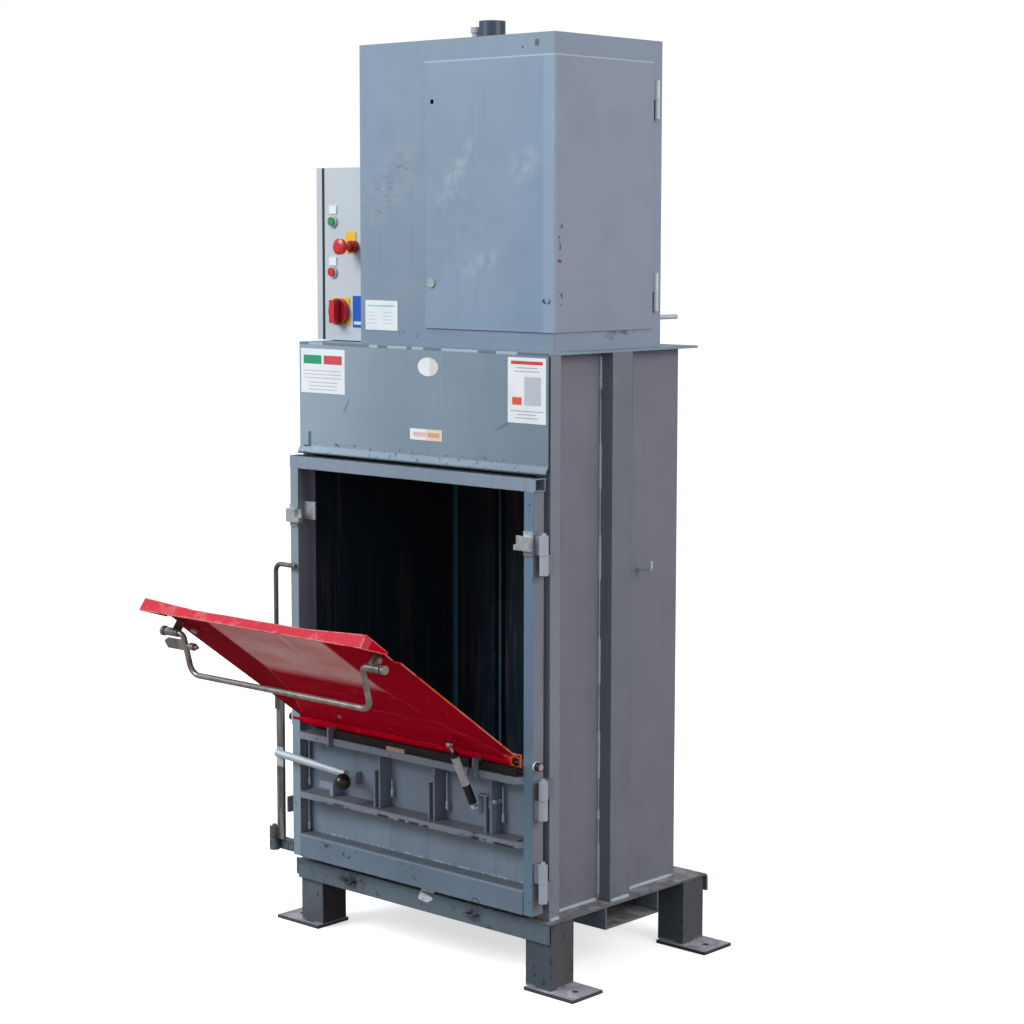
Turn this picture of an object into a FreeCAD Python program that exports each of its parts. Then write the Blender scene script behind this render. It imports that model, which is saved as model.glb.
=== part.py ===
import FreeCAD, Part
import math
import os
import re

import Sketcher
from FreeCAD import Placement, Rotation, Vector

# Upright recycling baler with a side-hung bale door and a tilting feed flap.
# Frame: origin on the floor in the middle of the four anchor holes,
# +X to the right as seen from the front, +Y to the back, +Z up. Millimetres.

SIZES = {
    # base: folded plate on four square legs, with a fork pocket under it
    "base_half": 432, "base_front": 299, "base_back": 308, "base_top": 173, "base_sheet": 6,
    "apron_drop": 50, "rear_drop": 46, "rear_round": 14,
    "base_lug_out": 440, "base_lug_in": 416, "base_lug_drop": 42,
    "fork_front": 92, "fork_back": 110, "fork_wall": 5, "fork_low": 113,
    "leg_side": 80, "leg_wall": 4, "leg_centre_x": 392, "leg_centre_y": 248,
    "foot_thick": 8, "foot_out": 512, "foot_in": 358, "foot_half": 54,
    "anchor_x": 473, "anchor_bore": 14,
    # press body
    "body_top": 1500, "wall_out": 382, "wall_sheet": 5, "post_front": 282, "post_back": 246,
    "post_out": 420, "post_wall": 3, "rear_face": 231,
    "column_front": 62, "column_back": 12, "column_wall": 5,
    "guide_front": 205, "guide_back": 163, "guide_thick": 6, "guide_top": 1490,
    "strap_pitch": 197, "strap_shift": -11, "strap_gap": 20, "strap_rib": 5, "strap_deep": 12,
    "strap_top": 1200,
    "top_thick": 6, "top_half": 420, "top_front": 292, "top_back": 261, "rod_opening": 60,
    # hood with a flared lower lip
    "hood_low": 1225, "hood_front": 292, "hood_sheet": 4, "hood_half": 420,
    "lip_out": 8, "lip_start": 20, "lip_edge": 7, "lip_round": 5,
    "hood_lug_in": 382, "hood_lug_out": 408, "hood_lug_low": 1247, "hood_lug_high": 1282,
    "hood_lug_thick": 7,
    # bale door frame
    "door_front": 333, "door_back": 296, "door_in": 385, "door_out": 413, "door_low": 194,
    "door_tube": 3, "bar_low": 1190, "bar_high": 1221, "bar_half": 417, "bar_front": 331,
    "bar_back": 295,
    "sill_top": 255, "sill_front": 335, "sill_round": 9, "sill_wall": 4,
    "panel_top": 523, "panel_sheet": 4, "panel_half": 408,
    # bent rails across the bale door
    "rail_front": 350, "rail_sheet": 5, "rail_turn": 17, "shelf_thick": 4,
    "ledge_low": 505, "mid_low": 353, "mid_high": 369,
    "spring_gap_left": 221, "tab_x": 250, "tab_thick": 6, "tab_front": 362, "tab_low": 500,
    "tab_high": 552,
    "slot_pitch": 188, "slot_shift": 85, "slot_gap": 12, "rib_thick": 6, "rib_front": 335,
    "rib_short": 47, "slot_end": 3,
    "strip_front": 345, "strip_thick": 8, "strip_tall": 20, "strip_left": 244, "strip_right": 372,
    "block_left": 54, "block_right": 8, "block_deep": 5, "block_tall": 10,
    # bale door hinges
    "hinge_x": 435, "hinge_y": 320, "knuckle_radius": 10.5, "knuckle_long": 46,
    "knuckle_gap": 0.6, "hinge_pin": 5, "hinge_play": 0.05, "hinge_tip": 6,
    "hinge_top": 1045, "hinge_mid": 472, "hinge_low": 275, "leaf_front": 329, "leaf_thick": 6,
    "leaf_side": 4, "leaf_back": 307, "hinge_arm_in": 3, "hinge_foot": 8, "hinge_foot_wide": 16,
    # catches on the uprights
    "catch_below": 39, "catch_above": 17, "catch_sheet": 3, "catch_block_below": 27,
    "catch_block_above": 6, "catch_block_in": 366, "catch_block_front": 349,
    "catch_seat_play": 2, "catch_seat_front": 340,
    "tongue_in": 344, "tongue_below": 21, "tongue_above": 24,
    "tongue_front": 313, "tongue_sheet": 4,
    # feed flap
    "pivot_y": 321, "pivot_z": 550, "flap_open": 54.1, "flap_half": 377, "flap_tall": 626,
    "flap_sheet": 3, "press_deep": 10, "press_flat_x": 190, "press_low": 190,
    "press_low_deep": 7, "press_high": 360, "flange_deep": 30, "gusset_drop": 91,
    "notch_below": 32, "notch_above": 13, "notch_in": 361,
    "cheek_left": 341, "cheek_low": 6, "cheek_high": 24, "cheek_notch": 42,
    "corner_left": 346, "corner_right": 372, "corner_low": 8, "corner_high": 17,
    "corner_slant": 7,
    "pivot_tube": 12, "pivot_pin": 8, "pivot_play": 0.05, "pivot_end_gap": 2, "notch_play": 0.4,
    "pivot_washer": 12.5, "pivot_head": 10, "washer_thick": 4, "head_thick": 12,
    "ear_thick": 4, "ear_half": 18, "pivot_bolt_long": 40,
    # latches and handle on the flap
    "handle_down": 94, "handle_out": 34, "handle_drop": 101, "handle_back": 26,
    "handle_inset": 71, "handle_proud": 2, "handle_radius": 7, "handle_bend": 25,
    "elbow_bend": 14, "handle_play": 0.06, "handle_head": 12, "handle_tip": 10, "handle_head_long": 8,
    "finger_near": 18, "finger_far": 42, "finger_thick": 8, "finger_slant": 9,
    "sleeve_radius": 10, "sleeve_gap": 1, "sleeve_long": 44, "sleeve_plate": 12,
    "latch_sheet": 4, "latch_half": 12, "latch_front": 30,
    "latch_bolt_out": 14, "latch_bolt_radius": 4.5, "latch_bolt_long": 15,
    "latch_ring_radius": 6.5, "latch_ring_long": 4,
    "finger_bolt": 4.5, "finger_bolt_long": 44, "finger_nut": 9, "finger_nut_start": 18,
    "finger_nut_end": 33,
    "screw_x": 173, "screw_up": 83, "screw_radius": 6, "screw_proud": 4,
    "nut_x": 323, "nut_below": 40, "nut_radius": 9, "nut_proud": 7,
    # gas spring
    "spring_x": 235, "spring_foot_y": 340, "spring_foot_z": 427, "stud_up": 108, "stud_out": 26,
    "spring_tube": 10, "spring_tube_start": 15, "spring_tube_long": 142, "spring_rod": 4,
    "spring_play": 0.05, "spring_collar": 7.5, "spring_collar_long": 6, "spring_eye": 7.5,
    "spring_eye_half": 5.5, "stud_radius": 4, "stud_gap": 0.3, "stud_plate": 249,
    "stud_plate_thick": 3, "stud_plate_half": 7, "stud_plate_edge": 3,
    "bracket_x": 250, "bracket_sheet": 3, "bracket_low": 415, "bracket_high": 463,
    "bracket_wing": 428, "wing_back": 309, "bracket_front": 347, "bracket_back": 329,
    "bracket_bolt_radius": 6, "bracket_bolt_proud": 6, "bracket_bolt_z": 446,
    "bracket_bolt_front": 327, "bracket_bolt_back": 311, "foot_nut": 6.5, "foot_head": 6.5,
    "foot_head_long": 3,
    # lock bar on the left of the bale door
    "lock_x": 472, "lock_y": 345, "lock_barrel": 13, "lock_low": 199, "lock_mid": 229,
    "lock_high": 259, "lock_pin": 6, "lock_play": 0.05, "lock_gap": 0.5,
    "lock_bar_out": 461, "lock_bar_in": 437, "lock_bar_thick": 8, "lock_bar_top": 600,
    "lock_rod_x": 455, "lock_rod_top": 944, "lock_rod_end": 380, "lock_rod_radius": 6,
    "lock_rod_bend": 20, "lock_rod_foot": 30, "lock_rod_set": 2,
    "lever_z": 456, "lever_start": 14, "lever_end_x": 190, "lever_end_z": 443,
    "lever_y": 352, "lever_end_y": 357, "lever_radius": 10, "stem_inset": 9,
    "stem_radius": 6, "knob_x": 176, "knob_y": 382, "knob_z": 429, "knob_radius": 21,
    "keeper_out": 444, "keeper_in": 436, "keeper_front": 326,
    "keeper_back": 262, "keeper_low": 298, "keeper_high": 338, "keeper_foot": 280,
    "rest_left": 226, "rest_right": 197, "rest_thick": 3, "rest_front": 318,
    "rest_low": 408, "rest_high": 437,
    "hook_left": 312, "hook_right": 262, "hook_low": 386, "hook_high": 404, "hook_bar": 6,
    "hook_front": 334, "hook_foot": 13, "hook_back": 305,
    # cabinet over the press
    "cab_left": 251, "cab_right": 391, "cab_front": 239, "cab_back": 149, "cab_top": 2236,
    "cab_sheet": 3, "cab_door_left": 22, "cab_door_low": 1550, "cab_door_drop": 50,
    "cab_door_back": 114, "cab_door_gap": 1, "cab_rim": 14, "cab_corner": 15,
    "cab_hinge_x": 398, "cab_hinge_y": 123, "cab_knuckle": 6, "cab_knuckle_long": 46,
    "cab_hinge_drop": 140, "cab_hinge_low": 1638, "cab_leaf_wide": 20,
    "cam_z": 1660, "cam_radius": 8, "cam_head": 12, "cam_head_proud": 4, "cam_play": 0.06,
    "cam_long": 15, "cam_arm": 26, "cam_arm_wide": 12, "cam_arm_thick": 3,
    "keyhole_x": 2, "keyhole_drop": 146, "keyhole_radius": 6,
    "cab_screw_x": 376, "cab_screw_z": 1624, "cab_screw_radius": 6, "cab_screw_proud": 4,
    "plate_left": 233, "plate_right": 120, "plate_low": 1540, "plate_high": 1613,
    "plate_thick": 1.5,
    "rear_rod_x": 385, "rear_rod_z": 1577, "rear_rod_radius": 6, "rear_rod_end": 218,
    "side_hook_y": 80, "side_hook_z": 968, "side_hook_out": 425, "side_hook_radius": 4,
    "side_hook_rise": 22, "side_hook_bend": 8,
    "loop_left": 236, "loop_right": 193, "loop_z": 150, "loop_half": 14, "loop_out": 16,
    "loop_radius": 3, "loop_bend": 8,
    "wire_x": 381, "wire_front": 319, "wire_back": 311, "wire_low": 640, "wire_high": 855,
    "wire_radius": 1.5,
    # ram and power pack
    "ram_y": 30, "flange_radius": 70, "flange_tall": 18, "barrel_radius": 50,
    "barrel_bore": 40, "barrel_drop": 10, "rod_radius": 25, "ram_play": 0.05,
    "piston_drop": 66, "piston_tall": 40, "bore_end": 8, "cap_radius": 32.5, "cap_rise": 58,
    "cap_play": 0.5, "fitting_x": 52, "fitting_radius": 15, "fitting_step": 3,
    "fitting_rise": 46, "fitting_tall": 14, "port_radius": 12, "port_out": 62,
    "port_drop": 46, "port_root": 5,
    "port_low": 1546,
    "platen_half": 364, "platen_front": 275, "platen_back": 208, "platen_low": 1250,
    "platen_sheet": 12, "platen_beam": 70, "platen_beam_x": 150, "platen_beam_tall": 120,
    "platen_web": 8, "platen_inset": 20, "socket_radius": 42, "socket_tall": 90,
    "tank_left": 130, "tank_right": 342, "tank_front": 150, "tank_back": 105,
    "tank_top": 1706, "tank_round": 10, "motor_x": 210, "motor_y": 50, "motor_radius": 52,
    "motor_flange": 60, "motor_flange_tall": 10, "motor_top": 1900, "fan_radius": 56,
    "fan_tall": 34, "motor_box": 30, "motor_box_out": 22, "motor_box_in": 20,
    "motor_box_low": 60, "motor_box_high": 110,
    "valve_left": 285, "valve_right": 338, "valve_front": 60, "valve_top": 1790,
    "hose_radius": 8, "hose_high_x": 320, "hose_low_x": 298, "hose_bend": 80,
    "hose_small_bend": 26, "hose_turn_z": 1850, "hose_down_x": 98,
    # electrical enclosure on the cabinet's left side
    "enc_left": 429, "enc_front": 201, "enc_back": 99, "enc_low": 1508, "enc_high": 1941,
    "enc_sheet": 3, "enc_door_left": 451, "enc_seal": 2, "enc_seal_wide": 10,
    "enc_door_sheet": 3, "enc_hinge_x": 436, "enc_hinge_y": 104, "enc_knuckle": 4,
    "enc_knuckle_long": 24, "enc_hinge_low": 1600, "enc_hinge_high": 1850,
    "enc_lock_y": 180, "enc_lock_z": 1725, "enc_lock_radius": 6, "enc_lock_head": 10,
    "enc_lock_proud": 4, "enc_lock_long": 12,
    "green_x": 389, "green_z": 1807, "red_x": 390, "red_z": 1680, "bezel_radius": 15,
    "bezel_proud": 6, "bezel_bore": 11, "button_play": 0.06, "button_proud": 11,
    "button_inside": 6, "button_hole": 12,
    "holder_half": 13, "holder_green_z": 1836, "holder_red_z": 1706, "holder_tall": 20,
    "holder_thick": 3,
    "stop_plate_left": 343, "stop_plate_right": 306, "stop_plate_low": 1727,
    "stop_plate_high": 1780, "yellow_thick": 2, "stop_x": 310, "stop_z": 1744,
    "stop_collar": 15, "stop_collar_proud": 18, "stop_neck": 12, "stop_stem": 9,
    "stop_bore_start": 2, "stop_start": 8, "stop_head": 20, "stop_cone_start": 28,
    "stop_cone_end": 40, "stop_rim": 50, "stop_top": 54, "stop_crown": 8,
    "switch_x": 363, "switch_z": 1581, "switch_half_x": 32.5, "switch_half_z": 34,
    "switch_disc": 33, "switch_disc_start": 4, "switch_disc_end": 14, "switch_grip_end": 34,
    "switch_grip_half": 9, "switch_grip_long": 29, "switch_shaft": 7, "switch_shaft_in": 9,
    "blue_left": 319, "blue_right": 262, "blue_low": 1542, "blue_high": 1621,
}

# lengths and angles that follow from the sizes above
DERIVED = {
    "under_plate": "base_top - base_sheet",
    "wall_in": "wall_out - wall_sheet",
    "roof_z": "body_top + top_thick",
    "spring_top_y": "-pivot_y - stud_out * cos(flap_open) - stud_up * sin(flap_open)",
    "spring_top_z": "pivot_z - stud_out * sin(flap_open) + stud_up * cos(flap_open)",
    "spring_run_y": "-spring_foot_y - spring_top_y",
    "spring_run_z": "spring_top_z - spring_foot_z",
    "spring_reach": "sqrt(spring_run_y * spring_run_y + spring_run_z * spring_run_z)",
    "spring_lean": "atan(spring_run_y / spring_run_z)",
    "pivot_left": "door_out - pivot_end_gap",
    "handle_up": "flap_tall - handle_down",
    "handle_half": "flap_half - handle_inset",
    "handle_end": "flap_half + handle_proud",
    "latch_in": "handle_half + sleeve_plate",
    "spindle_z": "pivot_z + handle_up",
    "notch_low": "handle_up - notch_below",
    "notch_high": "handle_up + notch_above",
    "cab_door_high": "cab_top - cab_door_drop",
    "cab_hinge_high": "cab_top - cab_hinge_drop",
    "barrel_top": "cab_top - barrel_drop",
    "piston_low": "barrel_top - piston_drop",
    "port_high": "cab_top - port_drop",
    "cap_top": "cab_top + cap_rise",
    "fitting_top": "cab_top + fitting_rise",
    "cab_front_out": "cab_front + cab_door_gap + cab_sheet",
    "cab_right_out": "cab_right + cab_door_gap + cab_sheet",
}

TURN = {
    "x": Rotation(Vector(0, 1, 0), 90),
    "y": Rotation(Vector(1, 0, 0), -90),
    "z": Rotation(),
}
FAR = "60"  # overrun of a cutting tool past the piece it cuts

doc = FreeCAD.newDocument("RecyclingBaler")
sheet = doc.addObject("Spreadsheet::Sheet", "Dims")
row = 0
for name, value in SIZES.items():
    row += 1
    sheet.set("A%d" % row, name)
    sheet.set("B%d" % row, str(value))
    sheet.setAlias("B%d" % row, name)
for name, formula in DERIVED.items():
    row += 1
    sheet.set("A%d" % row, name)
    sheet.set("B%d" % row, "=" + formula)
    sheet.setAlias("B%d" % row, name)
doc.recompute()

subparts = []


def size(alias):
    """Value of one sheet cell as a plain number."""
    cell = sheet.get(alias)
    return float(getattr(cell, "Value", cell))


def on_sheet(text):
    """Turn names of sizes into references to the sheet."""
    def swap(match):
        word = match.group(0)
        return "Dims." + word if word in SIZES or word in DERIVED else word
    return re.sub(r"[a-z][a-z0-9_]*", swap, text)


def bind(obj, path, text):
    obj.setExpression(path, on_sheet(text))


def keep(label, obj):
    """Mark an object as a finished sub-part."""
    obj.Label = label
    subparts.append(obj)
    return obj


def box(x, y, z):
    obj = doc.addObject("Part::Box", "Block")
    for axis, prop, span in zip("xyz", ("Length", "Width", "Height"), (x, y, z)):
        bind(obj, "Placement.Base." + axis, span[0])
        bind(obj, prop, "(%s) - (%s)" % (span[1], span[0]))
    return obj


def cylinder(axis, centre, span, radius):
    """Round bar along an axis; centre holds the two other coordinates."""
    obj = doc.addObject("Part::Cylinder", "Round")
    obj.Placement = Placement(Vector(), TURN[axis])
    others = [name for name in "xyz" if name != axis]
    bind(obj, "Placement.Base." + axis, span[0])
    for name, text in zip(others, centre):
        bind(obj, "Placement.Base." + name, text)
    bind(obj, "Height", "(%s) - (%s)" % (span[1], span[0]))
    bind(obj, "Radius", radius)
    return obj


def cut(base, *tools):
    for tool in tools:
        obj = doc.addObject("Part::Cut", "Cut")
        obj.Base = base
        obj.Tool = tool
        base = obj
    return base


def common(base, tool):
    obj = doc.addObject("Part::Common", "Common")
    obj.Base = base
    obj.Tool = tool
    return obj


def fuse(*shapes):
    obj = doc.addObject("Part::MultiFuse", "Fuse")
    obj.Shapes = list(shapes)
    obj.Refine = True
    return obj


def group(*shapes):
    obj = doc.addObject("Part::Compound", "Group")
    obj.Links = list(shapes)
    return obj


def tube(axis, centre, span, radius, bore):
    return cut(cylinder(axis, centre, span, radius),
               cylinder(axis, centre, (span[0] + " - 1", span[1] + " + 1"), bore))


def sided(side, near, far):
    """Low and high x of a span given for the right-hand side."""
    return (near, far) if side > 0 else ("-(%s)" % far, "-(%s)" % near)


def signed(side, text):
    return text if side > 0 else "-(%s)" % text


def sketch_on(body, plane, corners):
    """Closed outline; every corner is held by its two coordinates."""
    sketch = body.newObject("Sketcher::SketchObject", "Outline")
    origin = [item for item in body.Origin.OriginFeatures if item.Role == plane + "_Plane"][0]
    sketch.AttachmentSupport = (origin, [""])
    sketch.MapMode = "FlatFace"
    count = len(corners)
    ring = [Vector(math.cos(2 * math.pi * i / count), math.sin(2 * math.pi * i / count), 0)
            for i in range(count)]
    for i in range(count):
        sketch.addGeometry(Part.LineSegment(ring[i], ring[(i + 1) % count]), False)
    for i in range(count):
        sketch.addConstraint(Sketcher.Constraint("Coincident", i, 2, (i + 1) % count, 1))
    for i, corner in enumerate(corners):
        for kind, start, text in zip(("DistanceX", "DistanceY"), ring[i], corner):
            index = sketch.addConstraint(Sketcher.Constraint(kind, i, 1, start))
            bind(sketch, "Constraints[%d]" % index, text)
    return sketch


def padded(plane, corners, span, rounds=()):
    """Outline padded across the plane's normal; rounds holds (corner indexes, radius)."""
    body = doc.addObject("PartDesign::Body", "Folded")
    sketch = sketch_on(body, plane, corners)
    feature = body.newObject("PartDesign::Pad", "Pad")
    feature.Profile = sketch
    axis = {"YZ": "x", "XZ": "y", "XY": "z"}[plane]
    if plane == "XZ":
        feature.Reversed = True
    bind(feature, "Length", "(%s) - (%s)" % (span[1], span[0]))
    bind(body, "Placement.Base." + axis, span[0])
    doc.recompute()
    for indexes, radius in rounds:
        names = edges_at(feature.Shape, sketch, plane, indexes)
        rounding = body.newObject("PartDesign::Fillet", "Bend")
        rounding.Base = (feature, names)
        bind(rounding, "Radius", radius)
        body.Tip = rounding
        feature = rounding
        doc.recompute()
    return body


def edges_at(shape, sketch, plane, indexes):
    """Names of the straight edges that run off the given outline corners."""
    names = []
    for index in indexes:
        point = sketch.Geometry[index].StartPoint
        for number, edge in enumerate(shape.Edges):
            first, last = edge.Vertexes[0].Point, edge.Vertexes[-1].Point
            pair = {"YZ": (1, 2), "XZ": (0, 2), "XY": (0, 1)}[plane]
            spots = [(spot[pair[0]], spot[pair[1]]) for spot in (first, last)]
            if all(abs(u - point.x) < 1e-4 and abs(v - point.y) < 1e-4 for u, v in spots):
                names.append("Edge%d" % (number + 1))
    return names


def turned(corners):
    """Outline of (radius, height) turned round the body's own Z axis."""
    body = doc.addObject("PartDesign::Body", "Turned")
    feature = body.newObject("PartDesign::Revolution", "Revolve")
    sketch = sketch_on(body, "XZ", corners)
    feature.Profile = sketch
    feature.ReferenceAxis = (sketch, ["V_Axis"])
    feature.Angle = 360
    doc.recompute()
    return body


def stand(body, x, y, z, rotation=None):
    """Place a turned or padded body."""
    body.Placement = Placement(Vector(), rotation or Rotation())
    for axis, text in zip("xyz", (x, y, z)):
        bind(body, "Placement.Base." + axis, text)
    return body


def bent_bar(points, bends, radius):
    """Round bar along straight runs joined by tangent arcs; one bend radius or one each."""
    if not isinstance(bends, list):
        bends = [bends] * (len(points) - 2)
    path = []
    last = points[0]
    for before, corner, after, bend in zip(points, points[1:], points[2:], bends):
        inward = (corner - before).normalize()
        outward = (after - corner).normalize()
        half = inward.getAngle(outward) / 2
        reach = bend * math.tan(half)
        start = corner - inward * reach
        end = corner + outward * reach
        centre_way = (outward - inward).normalize()
        middle = corner + centre_way * (bend / math.cos(half) - bend)
        path.append(Part.LineSegment(last, start).toShape())
        path.append(Part.Arc(start, middle, end).toShape())
        last = end
    path.append(Part.LineSegment(last, points[-1]).toShape())
    outline = Part.Wire([Part.Circle(points[0], points[1] - points[0], radius).toShape()])
    return Part.Wire(path).makePipeShell([outline], True, False)


def bar_feature(*shapes):
    feature = doc.addObject("Part::Feature", "Bar")
    feature.Shape = shapes[0] if len(shapes) == 1 else Part.makeCompound(list(shapes))
    return feature


# ---------------------------------------------------------------- base and legs
folded_base = padded("YZ", [
    ("-base_front", "base_top - apron_drop"),
    ("-base_front", "base_top"),
    ("base_back", "base_top"),
    ("base_back", "base_top - rear_drop"),
    ("base_back - base_sheet", "base_top - rear_drop"),
    ("base_back - base_sheet", "under_plate"),
    ("base_sheet - base_front", "under_plate"),
    ("base_sheet - base_front", "base_top - apron_drop"),
], ("-base_half", "base_half"), [((2,), "rear_round"), ((5,), "rear_round - base_sheet")])
base_lug = box(("-base_lug_out", "-base_lug_in"), ("-base_front", "base_sheet - base_front"),
               ("base_top - base_lug_drop", "base_top"))
keep("base_plate", fuse(folded_base, base_lug))

keep("fork_channel", padded("YZ", [
    ("-fork_front", "fork_low"),
    ("fork_back", "fork_low"),
    ("fork_back", "under_plate"),
    ("fork_back - fork_wall", "under_plate"),
    ("fork_back - fork_wall", "fork_low + fork_wall"),
    ("fork_wall - fork_front", "fork_low + fork_wall"),
    ("fork_wall - fork_front", "under_plate"),
    ("-fork_front", "under_plate"),
], ("-base_half", "base_half")))

legs = []
feet = []
for side in (-1, 1):
    for end in (-1, 1):
        x = signed(side, "leg_centre_x")
        y = signed(end, "leg_centre_y")
        legs.append(cut(
            box((x + " - leg_side / 2", x + " + leg_side / 2"),
                (y + " - leg_side / 2", y + " + leg_side / 2"), ("foot_thick", "under_plate")),
            box((x + " - leg_side / 2 + leg_wall", x + " + leg_side / 2 - leg_wall"),
                (y + " - leg_side / 2 + leg_wall", y + " + leg_side / 2 - leg_wall"),
                ("foot_thick - 1", "under_plate + 1"))))
        feet.append(cut(
            box(sided(side, "foot_in", "foot_out"), (y + " - foot_half", y + " + foot_half"),
                ("0", "foot_thick")),
            cylinder("z", (signed(side, "anchor_x"), y), ("-1", "foot_thick + 1"),
                     "anchor_bore / 2")))
keep("legs", group(*legs))
keep("foot_plates", group(*feet))

# ---------------------------------------------------------------- press body
walls = []
posts = []
columns = []
for side in (-1, 1):
    wall = box(sided(side, "wall_in", "wall_out"), ("-post_front", "rear_face"),
               ("base_top", "body_top"))
    guide = box(sided(side, "wall_in - guide_thick", "wall_in"), ("-guide_front", "-guide_back"),
                ("base_top", "guide_top"))
    walls.append(fuse(wall, guide))
    posts.append(cut(
        box(sided(side, "wall_out", "post_out"), ("-post_front", "-post_back"),
            ("base_top", "body_top")),
        box(sided(side, "wall_out + post_wall", "post_out - post_wall"),
            ("post_wall - post_front", "-post_back - post_wall"),
            ("base_top - 1", "body_top + 1"))))
    columns.append(cut(
        box(sided(side, "wall_out", "post_out"), ("-column_front", "column_back"),
            ("base_top", "body_top")),
        box(sided(side, "wall_out - 1", "post_out - column_wall"),
            ("column_wall - column_front", "column_back - column_wall"),
            ("base_top - 1", "body_top + 1"))))
keep("side_walls", group(*walls))
keep("corner_posts", group(*posts))
keep("side_columns", group(*columns))

keep("back_wall", box(("-wall_in", "wall_in"), ("rear_face - wall_sheet", "rear_face"),
                      ("base_top", "body_top")))

strap_ribs = []
for step in (-1, 0, 1):
    for side in (-1, 1):
        centre = "strap_shift + %d * strap_pitch + %d * (strap_gap + strap_rib) / 2" % (step, side)
        strap_ribs.append(box(
            (centre + " - strap_rib / 2", centre + " + strap_rib / 2"),
            ("rear_face - wall_sheet - strap_deep", "rear_face - wall_sheet"),
            ("base_top", "strap_top")))
keep("strap_guides", group(*strap_ribs))

keep("top_plate", cut(
    box(("-top_half", "top_half"), ("-top_front", "top_back"), ("body_top", "roof_z")),
    cylinder("z", ("0", "-ram_y"), ("body_top - 1", "roof_z + 1"), "rod_opening / 2")))

# hood: sheet panel with a lip flared to the front, side returns and one lug
hood_panel = padded("YZ", [
    ("-hood_front", "body_top"),
    ("-hood_front", "hood_low + lip_start"),
    ("-hood_front - lip_out", "hood_low + lip_edge"),
    ("-hood_front - lip_out", "hood_low"),
    ("hood_sheet - hood_front - lip_out", "hood_low"),
    ("hood_sheet - hood_front - lip_out", "hood_low + lip_edge - 1"),
    ("hood_sheet - hood_front", "hood_low + lip_start - 1"),
    ("hood_sheet - hood_front", "body_top"),
], ("-hood_half", "hood_half"), [((1, 2, 5, 6), "lip_round")])
returns = [box(sided(side, "hood_half - hood_sheet", "hood_half"),
               ("hood_sheet - hood_front", "-post_front"),
               ("hood_low + lip_start", "body_top")) for side in (-1, 1)]
hood_lug = box(("-hood_lug_out", "-hood_lug_in"), ("-hood_front - hood_lug_thick", "-hood_front"),
               ("hood_lug_low", "hood_lug_high"))
keep("hood", fuse(hood_panel, hood_lug, *returns))

# ---------------------------------------------------------------- bale door hinges
hinge_bases = []
hinge_leaves = []
for height, frame_side in (("hinge_top", -1), ("hinge_mid", 1), ("hinge_low", -1)):
    upper = (height + " + knuckle_gap / 2", height + " + knuckle_long")
    lower = (height + " - knuckle_long", height + " - knuckle_gap / 2")
    fixed, swinging = (upper, lower) if frame_side > 0 else (lower, upper)
    spot = ("hinge_x", "-hinge_y")
    pin = cylinder("z", spot, (height + " - knuckle_long", height + " + knuckle_long + hinge_tip"),
                   "hinge_pin")
    arm = box(("hinge_x - knuckle_radius", "hinge_x - hinge_arm_in"),
              ("-hinge_y", "-post_front - hinge_foot"), fixed)
    foot = box(("post_out - hinge_foot_wide", "hinge_x - hinge_arm_in"),
               ("-post_front - hinge_foot", "-post_front"), fixed)
    hinge_bases.append(fuse(cylinder("z", spot, fixed, "knuckle_radius"), pin, arm, foot))
    leaf = box(("door_out", "hinge_x"), ("-leaf_front", "leaf_thick - leaf_front"), swinging)
    leaf_wing = box(("door_out", "door_out + leaf_side"), ("-leaf_front", "-leaf_back"), swinging)
    hinge_leaves.append(cut(
        fuse(cylinder("z", spot, swinging, "knuckle_radius"), leaf, leaf_wing),
        cylinder("z", spot, (swinging[0] + " - 1", swinging[1] + " + 1"),
                 "hinge_pin + hinge_play")))
keep("door_hinge_bases", group(*hinge_bases))
keep("door_hinge_leaves", group(*hinge_leaves))

# ---------------------------------------------------------------- bale door frame
pivot_hole = cylinder("x", ("-pivot_y", "pivot_z"), ("door_in - 1", "door_out + 1"),
                      "pivot_pin + pivot_play")
tube_notch = cylinder("x", ("-pivot_y", "pivot_z"), ("-door_out - 1", "1 - door_in"),
                      "pivot_tube + notch_play")
uprights = []
for side in (-1, 1):
    upright = cut(
        box(sided(side, "door_in", "door_out"), ("-door_front", "-door_back"),
            ("door_low", "bar_low")),
        box(sided(side, "door_in + door_tube", "door_out - door_tube"),
            ("door_tube - door_front", "-door_back - door_tube"),
            ("door_low - 1", "bar_low + 1")))
    uprights.append(cut(upright, pivot_hole if side > 0 else tube_notch))
keep("door_uprights", group(*uprights))

keep("door_top_bar", cut(
    box(("-bar_half", "bar_half"), ("-bar_front", "-bar_back"), ("bar_low", "bar_high")),
    box(("-bar_half - 1", "bar_half + 1"), ("door_tube - bar_front", "-bar_back - door_tube"),
        ("bar_low + door_tube", "bar_high - door_tube"))))

keep("door_sill", padded("YZ", [
    ("-door_back", "door_low"),
    ("-door_back", "door_low + sill_wall"),
    ("sill_wall - sill_front", "door_low + sill_wall"),
    ("sill_wall - sill_front", "sill_top - sill_wall"),
    ("-door_back", "sill_top - sill_wall"),
    ("-door_back", "sill_top"),
    ("-sill_front", "sill_top"),
    ("-sill_front", "door_low"),
], ("-door_in", "door_in"), [((3,), "sill_round - sill_wall"), ((6,), "sill_round")]))

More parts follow.
